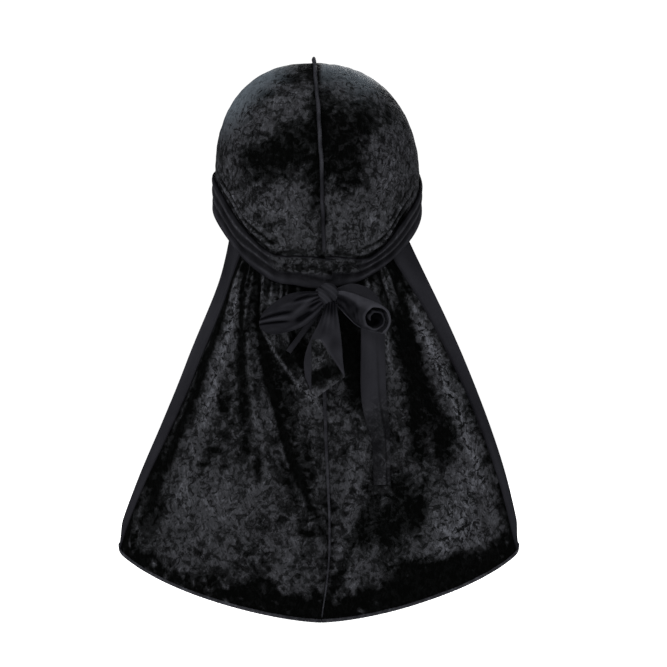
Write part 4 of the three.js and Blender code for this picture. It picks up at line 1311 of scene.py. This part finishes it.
def make_floor():
    """A wide disc of pale paper under the hem."""
    props = settings()
    mesh = bpy.data.meshes.new("floor")
    turn = np.linspace(0, 2 * np.pi, FLOOR["sides"], endpoint=False)
    rim = vec(FLOOR["radius"] * np.cos(turn), FLOOR["radius"] * np.sin(turn), props.floor_height)
    mesh.from_pydata(rim, [], [list(range(FLOOR["sides"]))])
    linked("floor", mesh)
    shader = Shader(bpy.data.materials.new("floor_paper"))
    grain = shader.noise(shader.value("ShaderNodeTexCoord", "Object"), 90.0, 2.0)
    tint = shader.blend(grain, tuple(c * 0.985 for c in props.floor_colour), tuple(props.floor_colour))
    glow = {"Base Color": tint, "Roughness": 0.85, "Emission Color": WHITE, "Emission Strength": 0.9}
    mesh.materials.append(shader.finish({**glow, "Specular IOR Level": 0.1}))


def make_surround():
    """Soft light from all round, behind a surround that is white where it is seen."""
    world = Shader(bpy.data.worlds.new("surround"))
    soft = world.value("ShaderNodeBackground", 0, None, {0: COOL_WHITE, 1: settings().surround})
    seen = world.value("ShaderNodeBackground", 0, None, {0: WHITE, 1: 1.05})
    in_view = world.value("ShaderNodeLightPath", "Is Camera Ray")
    both = world.value("ShaderNodeMixShader", 0, None, {0: in_view, 1: soft, 2: seen})
    world.node("ShaderNodeOutputWorld", None, {0: both})
    bpy.context.scene.world = world.owner


def make_stage():
    """A pale floor under the hem, a white surround, soft lamps, and the camera level behind the nape."""
    make_floor()
    make_surround()
    for name, place, size, power in LAMPS:
        light = bpy.data.lights.new(name, "AREA")
        light.shape, light.size, light.energy = "DISK", size, power * settings().lamp_power
        lamp = linked(name, light)
        lamp.location = place
        lamp.rotation_euler = (Vector(LIT_PLACE) - Vector(place)).to_track_quat("-Z", "Y").to_euler()

    camera = bpy.data.cameras.new("camera")
    for key, value in CAMERA.items():
        setattr(camera, key, value)
    eye = linked("camera", camera)
    eye.location = CAMERA_PLACE
    eye.rotation_euler = (math.pi / 2, 0, 0)
    bpy.context.scene.camera = eye
    bpy.context.scene.view_settings.view_transform = "Standard"


# ---- Settings, operators and panel ----


def length_setting(name, description, default):
    """A length in metres for a property group."""
    return bpy.props.FloatProperty(name=name, description=description, default=default, unit="LENGTH")


def number_setting(name, description, default, **limits):
    """A number that isn't below zero for a property group."""
    return bpy.props.FloatProperty(name=name, description=description, default=default, min=0, **limits)


def colour_setting(name, description, default):
    """A colour of three numbers for a property group."""
    return bpy.props.FloatVectorProperty(
        name=name, description=description, default=default, subtype="COLOR", size=3, min=0, max=1
    )


class DuragSettings(bpy.types.PropertyGroup):
    """Sizes and colours of the durag and its studio."""

    seam_height: length_setting("Seam height", "How far the crown's seam stands up", 0.0056)
    hem_thickness: length_setting("Hem thickness", "Thickness of the rolled hem", 0.003)
    crush_size: length_setting("Crush size", "Size of the velvet's crushed patches", 0.0085)
    fold_depth: number_setting("Fine folds", "Strength of the cape's fine folds", 1.0, max=2)
    sheen: number_setting("Sheen", "Sheen of the pile", 0.003, max=1)
    # The velvet's tone runs through these four colours: the crushed pile's lie, with painted light and shade.
    velvet_dark: colour_setting("Velvet dark", "Pile that leans away", (0.0005, 0.0006, 0.0005))
    velvet_mid: colour_setting("Velvet middle", "Pile that stands", (0.007, 0.0073, 0.0078))
    velvet_light: colour_setting("Velvet light", "Pile that leans over", (0.0255, 0.026, 0.029))
    velvet_shine: colour_setting("Velvet shine", "Pressed pile", (0.066, 0.068, 0.077))
    # The colour of the painted sheen on the crown's upper sides.
    velvet_painted_sheen: colour_setting("Velvet painted sheen", "Colour of the painted sheen", (0.066, 0.078, 0.09))
    # The plain cloth's tone runs between these two colours: painted shade at the dark end, painted light at
    # the light end, with some random tone.
    satin_dark: colour_setting("Satin dark", "Plain cloth in painted shade", (0.0015, 0.0015, 0.002))
    satin_light: colour_setting("Satin light", "Plain cloth in painted light", (0.0255, 0.0255, 0.0305))
    surround: number_setting("Surround", "Light from all round", 0.14)
    lamp_power: number_setting("Lamps", "Power of the lamps", 1.0)
    floor_height: length_setting("Floor height", "Height of the floor below the crown's top", -0.456)
    floor_colour: colour_setting("Floor colour", "Colour of the floor", (0.93, 0.93, 0.935))


def settings():
    """The scene's durag settings."""
    return bpy.context.scene.durag


class DURAG_OT_strap(bpy.types.Operator):
    """Make the brow band and both sides of the strap"""

    bl_idname = "durag.strap"
    bl_label = "Strap"
    bl_options = {"REGISTER", "UNDO"}

    def execute(self, context):
        make_strap()
        return {"FINISHED"}


class DURAG_OT_crown(bpy.types.Operator):
    """Make the crown's two panels and its raised seam"""

    bl_idname = "durag.crown"
    bl_label = "Crown"
    bl_options = {"REGISTER", "UNDO"}

    def execute(self, context):
        make_crown()
        return {"FINISHED"}


class DURAG_OT_cape(bpy.types.Operator):
    """Make the cape's two gathered panels"""

    bl_idname = "durag.cape"
    bl_label = "Cape"
    bl_options = {"REGISTER", "UNDO"}

    def execute(self, context):
        make_cape()
        return {"FINISHED"}


class DURAG_OT_trim(bpy.types.Operator):
    """Make the cape's facings, rolled hem and centre seam"""

    bl_idname = "durag.trim"
    bl_label = "Facings, hem and seam"
    bl_options = {"REGISTER", "UNDO"}

    def execute(self, context):
        make_trim()
        return {"FINISHED"}


class DURAG_OT_knot(bpy.types.Operator):
    """Make the knot at the nape"""

    bl_idname = "durag.knot"
    bl_label = "Knot"
    bl_options = {"REGISTER", "UNDO"}

    def execute(self, context):
        make_knot()
        return {"FINISHED"}


class DURAG_OT_loops(bpy.types.Operator):
    """Make the bow's two loops"""

    bl_idname = "durag.loops"
    bl_label = "Loops"
    bl_options = {"REGISTER", "UNDO"}

    def execute(self, context):
        make_loops()
        return {"FINISHED"}


class DURAG_OT_tails(bpy.types.Operator):
    """Make the bow's two tails and the tuck"""

    bl_idname = "durag.tails"
    bl_label = "Tails"
    bl_options = {"REGISTER", "UNDO"}

    def execute(self, context):
        make_tails()
        return {"FINISHED"}


class DURAG_OT_stage(bpy.types.Operator):
    """Make the floor, lamps and camera"""

    bl_idname = "durag.stage"
    bl_label = "Stage"
    bl_options = {"REGISTER", "UNDO"}

    def execute(self, context):
        make_stage()
        return {"FINISHED"}


OPERATORS = (
    DURAG_OT_crown,
    DURAG_OT_strap,
    DURAG_OT_cape,
    DURAG_OT_trim,
    DURAG_OT_knot,
    DURAG_OT_loops,
    DURAG_OT_tails,
    DURAG_OT_stage,
)


class DURAG_PT_panel(bpy.types.Panel):
    """Lists the durag's settings and pieces"""

    bl_idname = "DURAG_PT_panel"
    bl_label = "Durag"
    bl_space_type = "VIEW_3D"
    bl_region_type = "UI"
    bl_category = "Durag"

    def draw(self, context):
        column = self.layout.column(align=True)
        for name in DuragSettings.__annotations__:
            column.prop(context.scene.durag, name)
        for operator in OPERATORS:
            self.layout.operator(operator.bl_idname)


CLASSES = (DuragSettings, *OPERATORS, DURAG_PT_panel)


def register():
    for cls in CLASSES:
        bpy.utils.register_class(cls)
    bpy.types.Scene.durag = bpy.props.PointerProperty(type=DuragSettings)


def unregister():
    del bpy.types.Scene.durag
    for cls in reversed(CLASSES):
        bpy.utils.unregister_class(cls)


def main():
    """Makes every piece in order."""
    register()
    for operator in OPERATORS:
        getattr(bpy.ops.durag, operator.bl_idname.split(".")[1])()


if __name__ == "__main__":
    main()
